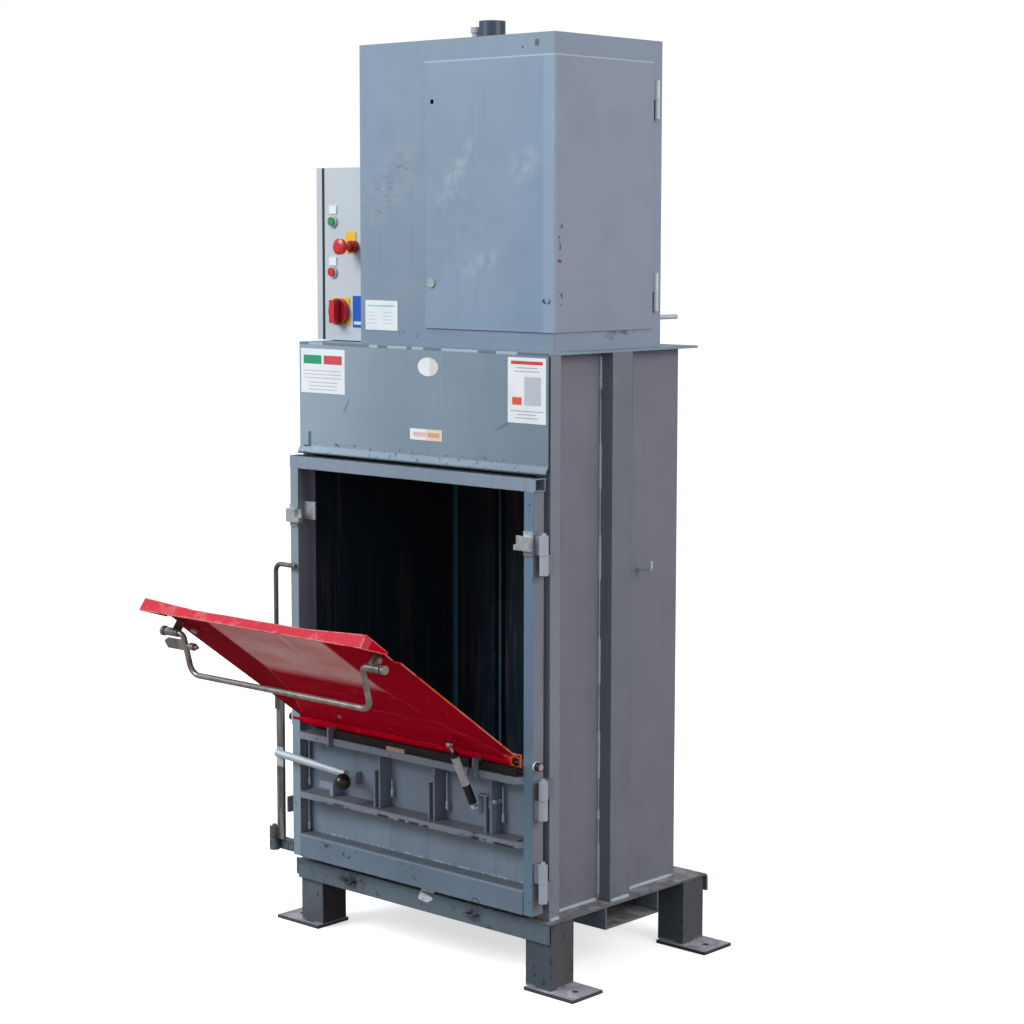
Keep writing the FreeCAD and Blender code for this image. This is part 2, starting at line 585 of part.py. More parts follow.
slots = []
ribs = []
for step in (-1, 0, 1):
    centre = "slot_shift + %d * slot_pitch" % step
    slots.append(box((centre + " - slot_gap / 2", centre + " + slot_gap / 2"),
                     ("-door_back - 1", "panel_sheet - door_back + 1"),
                     ("mid_high + slot_end", "ledge_low - slot_end")))
    for side, top in ((-1, "ledge_low - rib_short"), (1, "ledge_low")):
        middle = centre + " + %d * (slot_gap + rib_thick) / 2" % side
        ribs.append(box((middle + " - rib_thick / 2", middle + " + rib_thick / 2"),
                        ("-rib_front", "-door_back"), ("mid_high", top)))
keep("door_panel", cut(
    box(("-panel_half", "panel_half"), ("-door_back", "panel_sheet - door_back"),
        ("door_low", "panel_top")), *slots))

tab_cuts = []
for side in (-1, 1):
    span = (signed(side, "tab_x") + " - tab_thick / 2", signed(side, "tab_x") + " + tab_thick / 2")
    ribs.append(cut(box(span, ("-tab_front", "-door_back"), ("tab_low", "tab_high")),
                    box((span[0] + " - 1", span[1] + " + 1"), ("-pivot_y - pivot_tube - 1", "0"),
                        ("pivot_z - pivot_tube - 1", "tab_high + 1"))))
    tab_cuts.append(box(span, ("-tab_front - 1", "1 - door_back"), ("tab_low - 1", "tab_high + 1")))


def rail(low, high):
    """Bent flat bar with its ends turned back to the uprights, and a shelf behind its top."""
    front = padded("XY", [
        ("-door_in", "-door_front"),
        ("rail_turn - door_in", "-rail_front"),
        ("door_in - rail_turn", "-rail_front"),
        ("door_in", "-door_front"),
        ("door_in", "rail_sheet - door_front + 1"),
        ("door_in - rail_turn - 2", "rail_sheet - rail_front"),
        ("rail_turn + 2 - door_in", "rail_sheet - rail_front"),
        ("-door_in", "rail_sheet - door_front + 1"),
    ], (low, high))
    shelf = box(("rail_turn + 2 - door_in", "door_in - rail_turn - 2"),
                ("rail_sheet - rail_front - 1", "-door_back"), (high + " - shelf_thick", high))
    return fuse(front, shelf)


spring_gap = box(("spring_gap_left", "tab_x"), ("-rail_front - 9", "1 - door_back"),
                 ("ledge_low - 1", "panel_top + 40"))
ledge = cut(rail("ledge_low", "panel_top"), spring_gap, *tab_cuts)
keep("door_rails", group(ledge, rail("mid_low", "mid_high")))
keep("door_ribs", group(*ribs))

keep("rubber_strip", cut(
    box(("-strip_left", "strip_right"), ("-strip_front", "strip_thick - strip_front"),
        ("panel_top", "panel_top + strip_tall")),
    spring_gap, tab_cuts[1]))
keep("stop_block", box(("-block_left", "block_right"),
                       ("-strip_front - block_deep", "-strip_front"),
                       ("panel_top", "panel_top + block_tall")))

# catches on the uprights; the left one carries a tongue that stops the flap
catches = []
for side in (-1, 1):
    plate = box(sided(side, "door_in", "door_out"), ("-door_front - catch_sheet", "-door_front"),
                ("spindle_z - catch_below", "spindle_z + catch_above"))
    nose = box(sided(side, "catch_block_in", "door_out"),
               ("-catch_block_front", "-door_front - catch_sheet"),
               ("spindle_z - catch_block_below", "spindle_z + catch_block_above"))
    seat = box(sided(side, "catch_block_in - 1", "handle_end + catch_seat_play"),
               ("-catch_block_front - 1", "-catch_seat_front"),
               ("spindle_z - handle_head - catch_seat_play", "spindle_z + catch_above"))
    catches.append(fuse(plate, cut(nose, seat)))
catches.append(box(("-door_in", "-tongue_in"), ("-tongue_front", "tongue_sheet - tongue_front"),
                   ("spindle_z - tongue_below", "spindle_z + tongue_above")))
keep("door_catches", group(*catches))

# brackets on the door: gas spring foot on the right-hand rib, lever keeper and hook
rib_face = "slot_shift + slot_pitch + slot_gap / 2"
foot_wing = box((rib_face + " - bracket_sheet", rib_face), ("-rib_front", "-wing_back"),
                ("bracket_wing", "bracket_high"))
foot_shelf = box(("bracket_x", rib_face), ("-bracket_front", "-bracket_back"),
                 ("bracket_high - bracket_sheet", "bracket_high"))
foot_drop = box(("bracket_x", "bracket_x + bracket_sheet"), ("-bracket_front", "-bracket_back"),
                ("bracket_low", "bracket_high"))
foot_spot = ("-spring_foot_y", "spring_foot_z")
foot_tip = "spring_x - spring_eye_half - foot_head_long"
foot_stud = cylinder("x", foot_spot, (foot_tip, "bracket_x"), "stud_radius")
foot_head = cylinder("x", foot_spot, (foot_tip, "spring_x - spring_eye_half - stud_gap"),
                     "foot_head")
foot_nut = cylinder("x", foot_spot, ("spring_x + spring_eye_half + stud_gap", "bracket_x"),
                    "foot_nut")
lever_rest = fuse(
    box(("-rest_left", "-rest_right"), ("-rest_front", "rest_thick - rest_front"),
        ("rest_low", "rest_high")),
    box(("-rest_right - rest_thick", "-rest_right"), ("-rest_front", "-door_back"),
        ("rest_low", "rest_high")))
hook = fuse(
    box(("-hook_left", "-hook_right"), ("-hook_front", "hook_bar - hook_front"),
        ("hook_low", "hook_high")),
    box(("-hook_right - hook_foot", "-hook_right"), ("-hook_front", "-hook_back"),
        ("mid_high", "hook_high")))
keep("door_brackets", group(fuse(foot_wing, foot_shelf, foot_drop, foot_stud, foot_head, foot_nut),
                            lever_rest, hook))

# flap pivot bolts at both uprights and the two bolts of the gas spring bracket
pivot = ("-pivot_y", "pivot_z")
right_bolt = fuse(
    cylinder("x", pivot, ("flap_half - pivot_bolt_long", "door_out + washer_thick"), "pivot_pin"),
    cylinder("x", pivot, ("door_out", "door_out + washer_thick"), "pivot_washer"),
    cylinder("x", pivot, ("door_out + washer_thick", "door_out + washer_thick + head_thick"),
             "pivot_head"))
left_ear = box(("-door_out - ear_thick", "-door_out"), ("-door_front", "-door_back"),
               ("pivot_z - ear_half", "pivot_z + ear_half"))
left_bolt = fuse(
    left_ear,
    cylinder("x", pivot, ("-door_out - ear_thick", "pivot_bolt_long - pivot_left"),
             "pivot_pin"),
    cylinder("x", pivot, ("-door_out - ear_thick - head_thick", "-door_out - ear_thick"),
             "pivot_head"))
plate_bolts = [cylinder("x", ("-" + where, "bracket_bolt_z"),
                        (rib_face + " + rib_thick", rib_face + " + rib_thick + bracket_bolt_proud"),
                        "bracket_bolt_radius")
               for where in ("bracket_bolt_front", "bracket_bolt_back")]
keep("door_bolts", group(right_bolt, left_bolt, *plate_bolts))

wire_posts = [cylinder("z", ("wire_x", y), ("wire_low", "wire_high"), "wire_radius")
              for y in ("-wire_front", "-wire_back")]
wire_ties = [cylinder("y", ("wire_x", z), ("-wire_front - wire_radius", "wire_radius - wire_back"),
                      "wire_radius") for z in ("wire_low", "wire_high")]
wire_foot = box(("wire_x - wire_radius", "door_in"), ("-wire_front", "-wire_back"),
                ("wire_low - wire_radius", "wire_low + wire_radius"))
keep("wire_guide", fuse(wire_foot, *wire_posts, *wire_ties))

# ---------------------------------------------------------------- feed flap
# Built upright in its own frame: origin on the pivot axis, outer face towards -Y,
# then tilted forward by flap_open about the pivot axis.


def flap_form(inset):
    """Pressed face: raised middle field with three folds, sides falling back to the rims."""
    across = padded("XY", [
        ("-flap_half", inset),
        ("-press_flat_x", inset + " - press_deep"),
        ("press_flat_x", inset + " - press_deep"),
        ("flap_half", inset),
        ("flap_half", inset + " + " + FAR),
        ("-flap_half", inset + " + " + FAR),
    ], ("0", "flap_tall"))
    along = padded("YZ", [
        (inset, "0"),
        (inset + " - press_low_deep", "press_low"),
        (inset + " - press_deep", "press_high"),
        (inset + " - press_deep", "flap_tall"),
        (inset + " + " + FAR, "flap_tall"),
        (inset + " + " + FAR, "0"),
    ], ("-flap_half", "flap_half"))
    return common(across, along)


def on_flap(obj):
    obj.Placement = Placement(Vector(), Rotation(Vector(1, 0, 0), 1))
    bind(obj, "Placement.Base.y", "-pivot_y")
    bind(obj, "Placement.Base.z", "pivot_z")
    bind(obj, "Placement.Rotation.Angle", "flap_open")
    return obj


outer_form = flap_form("0")
inner_form = flap_form("flap_sheet")
pressed = cut(outer_form, inner_form)
flange = padded("XY", [
    ("-flap_half", "flap_sheet"),
    ("-flap_half", "-flange_deep"),
    ("flap_half", "-flange_deep"),
    ("flap_half", "flap_sheet"),
    ("press_flat_x", "flap_sheet - press_deep"),
    ("-press_flat_x", "flap_sheet - press_deep"),
], ("flap_tall - flap_sheet", "flap_tall"))
gussets = [padded("YZ", [
    ("flap_sheet", "flap_tall - gusset_drop"),
    ("0", "flap_tall - gusset_drop"),
    ("-flange_deep", "flap_tall - flap_sheet"),
    ("flap_sheet", "flap_tall - flap_sheet"),
], sided(side, "flap_half - flap_sheet", "flap_half")) for side in (-1, 1)]
edge_notches = [box(sided(side, "notch_in", "flap_half + 5"), ("-" + FAR, FAR),
                    ("notch_low", "notch_high")) for side in (-1, 1)]
cheek_notch = box(("cheek_left - notch_play", "flap_half + 1"), ("-" + FAR, FAR), ("-1", "cheek_notch"))
axis_room = cylinder("x", ("0", "0"), ("-flap_half - 1", "flap_half + 1"),
                     "pivot_tube + pivot_play")
keep("flap_panel", on_flap(cut(fuse(pressed, flange, *gussets), *edge_notches, cheek_notch,
                               axis_room)))

cheek = box(("cheek_left", "flap_half"),
            ("-pivot_y - pivot_tube", "flap_sheet - pivot_y - pivot_tube"),
            ("pivot_z - cheek_low", "pivot_z + cheek_high"))
cheek_hole = padded("XZ", [
    ("corner_left", "pivot_z"),
    ("corner_left", "pivot_z + corner_high - corner_slant"),
    ("corner_left + corner_slant", "pivot_z + corner_high"),
    ("corner_right - corner_slant", "pivot_z + corner_high"),
    ("corner_right", "pivot_z + corner_high - corner_slant"),
    ("corner_right", "pivot_z"),
    ("(corner_left + corner_right) / 2", "pivot_z - corner_low"),
], ("-pivot_y - " + FAR, "-pivot_y"))
keep("flap_pivot_tube", cut(fuse(cylinder("x", pivot, ("-pivot_left", "flap_half"), "pivot_tube"),
                                 cheek),
                            cylinder("x", pivot, ("-pivot_left - 1", "flap_half + 1"),
                                     "pivot_pin + pivot_play"), cheek_hole))

# latch brackets: a plate and a sleeve for the handle's spindle at each side,
# and a stop bolt on the right-hand plate
latches = []
for side in (-1, 1):
    spot = ("-handle_out", "handle_up")
    sleeve = sided(side, "handle_half + elbow_bend + sleeve_gap",
                   "handle_half + elbow_bend + sleeve_gap + sleeve_long")
    pieces = [
        box(sided(side, "latch_in + elbow_bend", "latch_in + elbow_bend + latch_sheet"),
            ("-latch_front", "0"), ("handle_up - latch_half", "handle_up + latch_half")),
        cylinder("x", spot, sleeve, "sleeve_radius"),
    ]
    if side > 0:
        bolt_end = "latch_in + elbow_bend + latch_bolt_long"
        bolt_spot = ("-latch_bolt_out", "handle_up")
        pieces.append(cylinder("x", bolt_spot, ("latch_in + elbow_bend", bolt_end),
                               "latch_bolt_radius"))
        pieces.append(cylinder("x", bolt_spot, (bolt_end, bolt_end + " + latch_ring_long"),
                               "latch_ring_radius"))
    bore = cylinder("x", spot, (sleeve[0] + " - 1", sleeve[1] + " + 1"),
                    "handle_radius + handle_play")
    latches.append(cut(fuse(*pieces), bore, outer_form))
keep("flap_latches", on_flap(group(*latches)))

heads = [common(cut(cylinder("y", spot, ("-press_deep - " + proud, FAR), radius), outer_form),
                flap_form("-" + proud))
         for spot, proud, radius in ((("-screw_x", "screw_up"), "screw_proud", "screw_radius"),
                                     (("-nut_x", "handle_up - nut_below"), "nut_proud",
                                      "nut_radius"))]
stud_arm = cut(box(("stud_plate", "stud_plate + stud_plate_thick"),
                   ("-stud_out - stud_radius - stud_plate_edge", "0"),
                   ("stud_up - stud_plate_half", "stud_up + stud_plate_half")),
               outer_form)
stud_pin = cylinder("x", ("-stud_out", "stud_up"),
                    ("spring_x + spring_eye_half + stud_gap", "stud_plate"), "stud_radius")
keep("flap_fittings", on_flap(group(*heads, fuse(stud_arm, stud_pin))))

# handle: one bent bar whose two ends turn outwards as spindles with heads;
# the left end carries a flat finger
tilt = math.radians(size("flap_open"))
spindle_y = (-size("pivot_y") - size("handle_out") * math.cos(tilt)
             - size("handle_up") * math.sin(tilt))
spindle_z = (size("pivot_z") - size("handle_out") * math.sin(tilt)
             + size("handle_up") * math.cos(tilt))
grip_y = spindle_y + size("handle_back")
grip_z = spindle_z - size("handle_drop")
handle_half = size("handle_half")
handle_end = size("handle_end")
elbow = size("elbow_bend")
corner = size("handle_bend")
handle_shape = bent_bar([
    Vector(-handle_end, spindle_y, spindle_z),
    Vector(-handle_half, spindle_y, spindle_z),
    Vector(-handle_half, grip_y, grip_z),
    Vector(handle_half, grip_y, grip_z),
    Vector(handle_half, spindle_y, spindle_z),
    Vector(handle_end, spindle_y, spindle_z),
], [elbow, corner, corner, elbow], size("handle_radius"))
for side, radius in ((-1, "handle_head"), (1, "handle_tip")):
    head = Part.makeCylinder(size(radius), size("handle_head_long"),
                             Vector(side * handle_end, spindle_y, spindle_z), Vector(-side, 0, 0))
    handle_shape = handle_shape.fuse(head)
arm_way = Vector(0, grip_y - spindle_y, grip_z - spindle_z).normalize()
flat_way = Vector(1, 0, 0).cross(arm_way)
finger = []
for x, reach in ((-handle_half, size("finger_near")),
                 (size("finger_slant") - handle_end, size("finger_near")),
                 (-handle_end, size("finger_near") + size("finger_slant")),
                 (size("finger_slant") - handle_end, size("finger_far")),
                 (-handle_half, size("finger_far"))):
    finger.append(Vector(x, spindle_y, spindle_z) + arm_way * reach
                  - flat_way * (size("finger_thick") / 2))
finger_spot = (Vector(-handle_half, spindle_y, spindle_z)
               + arm_way * (size("finger_near") + size("finger_far")) / 2)
for start, end, radius in (("0", "finger_bolt_long", "finger_bolt"),
                           ("finger_nut_start", "finger_nut_end", "finger_nut")):
    near = 0 if start == "0" else size(start)
    bolt = Part.makeCylinder(size(radius), size(end) - near, finger_spot + Vector(near, 0, 0),
                             Vector(1, 0, 0))
    handle_shape = handle_shape.fuse(bolt)
finger_face = Part.Face(Part.makePolygon(finger + finger[:1]))
handle_shape = handle_shape.fuse(finger_face.extrude(flat_way * size("finger_thick")))
keep("flap_handle", bar_feature(handle_shape))

# ---------------------------------------------------------------- gas spring
# Built upright with its foot at the origin, then leant to meet the flap stud.


def on_spring(obj):
    obj.Placement = Placement(Vector(), Rotation(Vector(1, 0, 0), 1))
    bind(obj, "Placement.Base.x", "spring_x")
    bind(obj, "Placement.Base.y", "-spring_foot_y")
    bind(obj, "Placement.Base.z", "spring_foot_z")
    bind(obj, "Placement.Rotation.Angle", "spring_lean")
    return obj


tube_end = "spring_tube_start + spring_tube_long"
eye_span = ("-spring_eye_half", "spring_eye_half")
keep("gas_spring_tube", on_spring(cut(
    fuse(cylinder("x", ("0", "0"), eye_span, "spring_eye"),
         cylinder("z", ("0", "0"), ("0", "spring_tube_start"), "spring_eye_half - 0.5"),
         cylinder("z", ("0", "0"), ("spring_tube_start", tube_end), "spring_tube"),
         cylinder("z", ("0", "0"), (tube_end, tube_end + " + spring_collar_long"), "spring_collar")),
    cylinder("x", ("0", "0"), ("-spring_eye_half - 1", "spring_eye_half + 1"),
             "stud_radius + spring_play"),
    cylinder("z", ("0", "0"), ("spring_tube_start + 4", tube_end + " + spring_collar_long + 1"),
             "spring_rod + spring_play"))))
keep("gas_spring_rod", on_spring(fuse(
    cylinder("z", ("0", "0"), ("spring_tube_start + 8", "spring_reach"), "spring_rod"),
    cylinder("x", ("0", "spring_reach"), eye_span, "spring_eye"))))

# ---------------------------------------------------------------- lock bar
lock_spot = ("-lock_x", "-lock_y")
keep("lock_bracket", fuse(
    cylinder("z", lock_spot, ("lock_low", "lock_mid - lock_gap / 2"), "lock_barrel"),
    cylinder("z", lock_spot, ("lock_low", "lock_high + hinge_tip"), "lock_pin"),
    box(("-lock_x", "-door_out"), ("-door_front - 2", "18 - door_front"),
        ("lock_low + 1", "lock_mid - 2"))))
lock_flat = box(("-lock_bar_out", "-lock_bar_in"), ("-lock_y", "lock_bar_thick - lock_y"),
                ("lock_mid + lock_gap / 2", "lock_bar_top"))
lock_turn = cylinder("z", lock_spot, ("lock_mid + lock_gap / 2", "lock_high"), "lock_barrel")
lever_start = Vector(-size("lock_bar_in") - size("lever_start"), -size("lever_y"), size("lever_z"))
lever_end = Vector(-size("lever_end_x"), -size("lever_end_y"), size("lever_end_z"))
knob_spot = Vector(-size("knob_x"), -size("knob_y"), size("knob_z"))
lever_way = lever_end - lever_start
stem_start = lever_end - Vector(lever_way).normalize() * size("stem_inset")
stem_way = knob_spot - stem_start


def lever_stem(grown):
    return bar_feature(Part.makeCylinder(size("stem_radius") + grown, stem_way.Length, stem_start,
                                         stem_way))


lever_pipe = bar_feature(Part.makeCylinder(size("lever_radius"), lever_way.Length, lever_start,
                                           lever_way))
rod_x = -size("lock_rod_x")
rod_y = -size("lock_y") - size("lock_rod_set")
lock_rod = bent_bar([
    Vector(rod_x, rod_y, size("lock_bar_top") - size("lock_rod_foot")),
    Vector(rod_x, rod_y, size("lock_rod_top")),
    Vector(-size("lock_rod_end"), rod_y, size("lock_rod_top")),
], size("lock_rod_bend"), size("lock_rod_radius"))
lock_bore = cylinder("z", lock_spot, ("lock_mid - 1", "lock_high + 1"), "lock_pin + lock_play")
keep("lock_bar", cut(fuse(lock_flat, lock_turn, lever_pipe, lever_stem(0), bar_feature(lock_rod)),
                     lock_bore))
ball = doc.addObject("Part::Sphere", "Ball")
bind(ball, "Radius", "knob_radius")
for axis, text in zip("xyz", ("-knob_x", "-knob_y", "knob_z")):
    bind(ball, "Placement.Base." + axis, text)
keep("lever_knob", cut(ball, lever_stem(size("pivot_play"))))

keep("lock_keeper", fuse(
    box(("-keeper_out", "-keeper_in"), ("-keeper_front", "-keeper_back"),
        ("keeper_low", "keeper_high")),
    box(("-keeper_out", "-post_out"), ("-keeper_foot", "-keeper_back"),
        ("keeper_low", "keeper_high"))))

# ---------------------------------------------------------------- rods, hooks and loops
loops = []
for middle in (-size("loop_left"), size("loop_right")):
    face = -size("base_front")
    tip = face - size("loop_out")
    half = size("loop_half")
    height = size("loop_z")
    loops.append(bent_bar([
        Vector(middle - half, face, height),
        Vector(middle - half, tip, height),
        Vector(middle + half, tip, height),
        Vector(middle + half, face, height),
    ], size("loop_bend"), size("loop_radius")))
hook_y = size("side_hook_y")
hook_z = size("side_hook_z")
side_hook = bent_bar([
    Vector(size("wall_out"), hook_y, hook_z),
    Vector(size("side_hook_out"), hook_y, hook_z),
    Vector(size("side_hook_out"), hook_y, hook_z + size("side_hook_rise")),
], size("side_hook_bend"), size("side_hook_radius"))
rear_rod = cylinder("y", ("rear_rod_x", "rear_rod_z"), ("cab_back", "rear_rod_end"),
                    "rear_rod_radius")
keep("rods_and_loops", group(bar_feature(side_hook), rear_rod,
                             *[bar_feature(loop) for loop in loops]))

# ---------------------------------------------------------------- cabinet
cab_spot = ("cab_hinge_x", "cab_hinge_y")
shell = cut(
    box(("-cab_left", "cab_right"), ("-cab_front", "cab_back"), ("roof_z", "cab_top")),
    box(("cab_sheet - cab_left", "cab_right - cab_sheet"),
        ("cab_sheet - cab_front", "cab_back - cab_sheet"), ("roof_z - 1", "cab_top - cab_sheet")),
    box(("cab_rim - cab_door_left", "cab_right - cab_corner"),
        ("-cab_front - 1", "cab_sheet - cab_front + 1"),
        ("cab_door_low + cab_rim", "cab_door_high - cab_rim")),
    box(("cab_right - cab_sheet - 1", "cab_right + 1"),
        ("cab_corner - cab_front", "cab_door_back - cab_rim"),
        ("cab_door_low + cab_rim", "cab_door_high - cab_rim")),
    cylinder("z", ("0", "-ram_y"), ("cab_top - cab_sheet - 1", "cab_top + 1"),
             "cap_radius + cap_play"))
knuckles = []
door_knuckles = []
for height in ("cab_hinge_high", "cab_hinge_low"):
    lower = (height + " - cab_knuckle_long", height + " - knuckle_gap / 2")
    upper = (height + " + knuckle_gap / 2", height + " + cab_knuckle_long")
    knuckles.append(fuse(
        cylinder("z", cab_spot, lower, "cab_knuckle"),
        cylinder("z", cab_spot, (lower[0], upper[1]), "cab_knuckle / 2"),
        box(("cab_right", "cab_right + 2"), ("cab_hinge_y", "cab_hinge_y + cab_leaf_wide"), lower),
        box(("cab_right + 1", "cab_hinge_x"), ("cab_hinge_y", "cab_hinge_y + 4"), lower)))
    door_knuckles.append((cylinder("z", cab_spot, upper, "cab_knuckle"),
                          cylinder("z", cab_spot, (upper[0] + " - 1", upper[1] + " + 1"),
                                   "cab_knuckle / 2 + hinge_play"), upper))
keep("cabinet_shell", fuse(shell, *knuckles))

front_leaf = box(("-cab_door_left", "cab_right_out"), ("-cab_front_out", "cab_sheet - cab_front_out"),
                 ("cab_door_low", "cab_door_high"))
right_leaf = box(("cab_right_out - cab_sheet", "cab_right_out"), ("-cab_front_out", "cab_door_back"),
                 ("cab_door_low", "cab_door_high"))
door_straps = []
door_bores = []
for knuckle, bore, upper in door_knuckles:
    door_straps.append(knuckle)
    door_straps.append(box(("cab_right_out - cab_sheet", "cab_right_out"),
                           ("cab_door_back - 1", "cab_hinge_y"), upper))
    door_bores.append(bore)
lock_hole = cylinder("y", ("0", "cam_z"), ("-cab_front_out - 1", "2 - cab_front"),
                     "cam_radius + cam_play")
key_hole = cylinder("y", ("keyhole_x", "cab_top - keyhole_drop"), ("-cab_front_out - 1", "2 - cab_front"),
                    "keyhole_radius")
door_screw = cylinder("y", ("cab_screw_x", "cab_screw_z"),
                      ("-cab_front_out - cab_screw_proud", "-cab_front_out"), "cab_screw_radius")
keep("cabinet_door", cut(fuse(front_leaf, right_leaf, door_screw, *door_straps),
                         lock_hole, key_hole, *door_bores))
keep("cabinet_lock", fuse(
    cylinder("y", ("0", "cam_z"), ("-cab_front_out - cam_head_proud", "-cab_front_out"), "cam_head"),
    cylinder("y", ("0", "cam_z"), ("-cab_front_out", "cam_long - cab_front_out"), "cam_radius"),
    box(("-cam_arm_wide / 2", "cam_arm_wide / 2"),
        ("cam_long - cab_front_out - cam_arm_thick", "cam_long - cab_front_out"),
        ("cam_z - cam_arm", "cam_z"))))

# ---------------------------------------------------------------- ram and power pack
ram_spot = ("0", "-ram_y")
keep("cylinder_barrel", cut(
    fuse(cylinder("z", ram_spot, ("roof_z", "roof_z + flange_tall"), "flange_radius"),
         cylinder("z", ram_spot, ("roof_z", "barrel_top"), "barrel_radius"),
         *[cylinder("x", ("-ram_y", port), ("barrel_radius - port_root", "port_out"), "port_radius")
           for port in ("port_high", "port_low")]),
    cylinder("z", ram_spot, ("roof_z - 1", "roof_z + flange_tall + 1"), "rod_radius + ram_play"),
    cylinder("z", ram_spot, ("roof_z + flange_tall", "piston_low + piston_tall + bore_end"),
             "barrel_bore + ram_play")))
cap = cylinder("z", ("0", "-ram_y"), ("barrel_top", "cap_top"), "cap_radius")
fitting = fuse(
    cylinder("z", ("-fitting_x", "-ram_y"), ("cab_top", "fitting_top"),
             "fitting_radius - fitting_step"),
    cylinder("z", ("-fitting_x", "-ram_y"), ("fitting_top - fitting_tall", "fitting_top"),
             "fitting_radius"))
keep("cylinder_cap", group(cap, fitting))

beam_low = "platen_low + platen_sheet"
beams = []
for side in (-1, 1):
    centre = signed(side, "platen_beam_x")
    beams.append(cut(
        box((centre + " - platen_beam / 2", centre + " + platen_beam / 2"),
            ("platen_inset - platen_front", "platen_back - platen_inset"),
            (beam_low, beam_low + " + platen_beam_tall")),
        box((centre + " - platen_beam / 2 + platen_web", centre + " + platen_beam / 2 - platen_web"),
            ("platen_inset - platen_front - 1", "platen_back - platen_inset + 1"),
            (beam_low + " - 1", beam_low + " + platen_beam_tall - platen_web"))))
cross = [box(("platen_beam / 2 - platen_beam_x", "platen_beam_x - platen_beam / 2"),
             (y + " - platen_web / 2", y + " + platen_web / 2"),
             (beam_low, beam_low + " + platen_beam_tall"))
         for y in ("-ram_y - socket_radius - platen_web", "socket_radius + platen_web - ram_y")]
keep("platen", fuse(
    box(("-platen_half", "platen_half"), ("-platen_front", "platen_back"),
        ("platen_low", beam_low)),
    cut(cylinder("z", ram_spot, (beam_low, beam_low + " + socket_tall"), "socket_radius"),
        cylinder("z", ram_spot, (beam_low, beam_low + " + socket_tall + 1"), "rod_radius")),
    *beams, *cross))
keep("ram_rod", fuse(
    cylinder("z", ram_spot, (beam_low, "piston_low"), "rod_radius"),
    cylinder("z", ram_spot, ("piston_low", "piston_low + piston_tall"), "barrel_bore")))

tank = padded("XY", [
    ("tank_left", "-tank_front"), ("tank_right", "-tank_front"),
    ("tank_right", "tank_back"), ("tank_left", "tank_back"),
], ("roof_z", "tank_top"), [((0, 1, 2, 3), "tank_round")])
keep("oil_tank", tank)
motor_spot = ("motor_x", "motor_y")
flange_top = "tank_top + motor_flange_tall"
keep("pump_motor", fuse(
    cylinder("z", motor_spot, ("tank_top", flange_top), "motor_flange"),
    cylinder("z", motor_spot, (flange_top, "motor_top - fan_tall"), "motor_radius"),
    cylinder("z", motor_spot, ("motor_top - fan_tall", "motor_top"), "fan_radius"),
    box(("motor_x - motor_box", "motor_x + motor_box"),
        ("motor_y - motor_radius - motor_box_out", "motor_y - motor_radius + motor_box_in"),
        (flange_top + " + motor_box_low", flange_top + " + motor_box_high"))))
keep("valve_block", box(("valve_left", "valve_right"), ("-valve_front", "0"),
                        ("tank_top", "valve_top")))
hose_y = -size("ram_y")
valve_top = size("valve_top")
port_out = size("port_out")
high_hose = bent_bar([
    Vector(size("hose_high_x"), hose_y, valve_top),
    Vector(size("hose_high_x"), hose_y, size("port_high")),
    Vector(port_out, hose_y, size("port_high")),
], size("hose_bend"), size("hose_radius"))
low_hose = bent_bar([
    Vector(size("hose_low_x"), hose_y, valve_top),
    Vector(size("hose_low_x"), hose_y, size("hose_turn_z")),
    Vector(size("hose_down_x"), hose_y, size("hose_turn_z")),
    Vector(size("hose_down_x"), hose_y, size("port_low")),
    Vector(port_out, hose_y, size("port_low")),
], size("hose_small_bend"), size("hose_radius"))
keep("hoses", bar_feature(high_hose, low_hose))

# ---------------------------------------------------------------- electrical enclosure
face = "-enc_front"


def on_face(x, z, start, end, radius):
    """Round piece on the enclosure's front wall, start and end counted outwards."""
    return cylinder("y", (x, z), ("%s - (%s)" % (face, end), "%s - (%s)" % (face, start)), radius)


def plate_on(front, x, z, thick):
    return box(x, ("%s - %s" % (front, thick), front), z)


enclosure = cut(
    box(("-enc_left", "-cab_left"), (face, "enc_back"), ("enc_low", "enc_high")),
    box(("-enc_left - 1", "-cab_left - enc_sheet"), (face + " + enc_sheet", "enc_back - enc_sheet"),
        ("enc_low + enc_sheet", "enc_high - enc_sheet")),
    on_face("-green_x", "green_z", "-9", "1", "button_hole"),
    on_face("-red_x", "red_z", "-9", "1", "button_hole"),
    on_face("-switch_x", "switch_z", "-9", "1", "switch_shaft + button_play"))
enc_spot = ("-enc_hinge_x", "enc_hinge_y")
enc_knuckles = []
enc_door_knuckles = []
enc_bores = []
for height in ("enc_hinge_low", "enc_hinge_high"):
    lower = (height + " - enc_knuckle_long", height + " - knuckle_gap / 2")
    upper = (height + " + knuckle_gap / 2", height + " + enc_knuckle_long")
    enc_knuckles.append(fuse(
        cylinder("z", enc_spot, lower, "enc_knuckle"),
        cylinder("z", enc_spot, (lower[0], upper[1]), "enc_knuckle / 2"),
        box(("-enc_hinge_x", "8 - enc_left"), ("enc_hinge_y - 2", "enc_hinge_y + 2"), lower),
        box(("-enc_left", "8 - enc_left"), ("enc_back", "enc_hinge_y + 2"), lower)))
    enc_door_knuckles.append(cylinder("z", enc_spot, upper, "enc_knuckle"))
    enc_door_knuckles.append(box(("-enc_hinge_x - 4", "-enc_hinge_x"),
                                 ("enc_back - 1", "enc_hinge_y"), upper))
    enc_bores.append(cylinder("z", enc_spot, (upper[0] + " - 1", upper[1] + " + 1"),
                              "enc_knuckle / 2 + hinge_play"))
keep("enclosure_body", fuse(enclosure, *enc_knuckles))

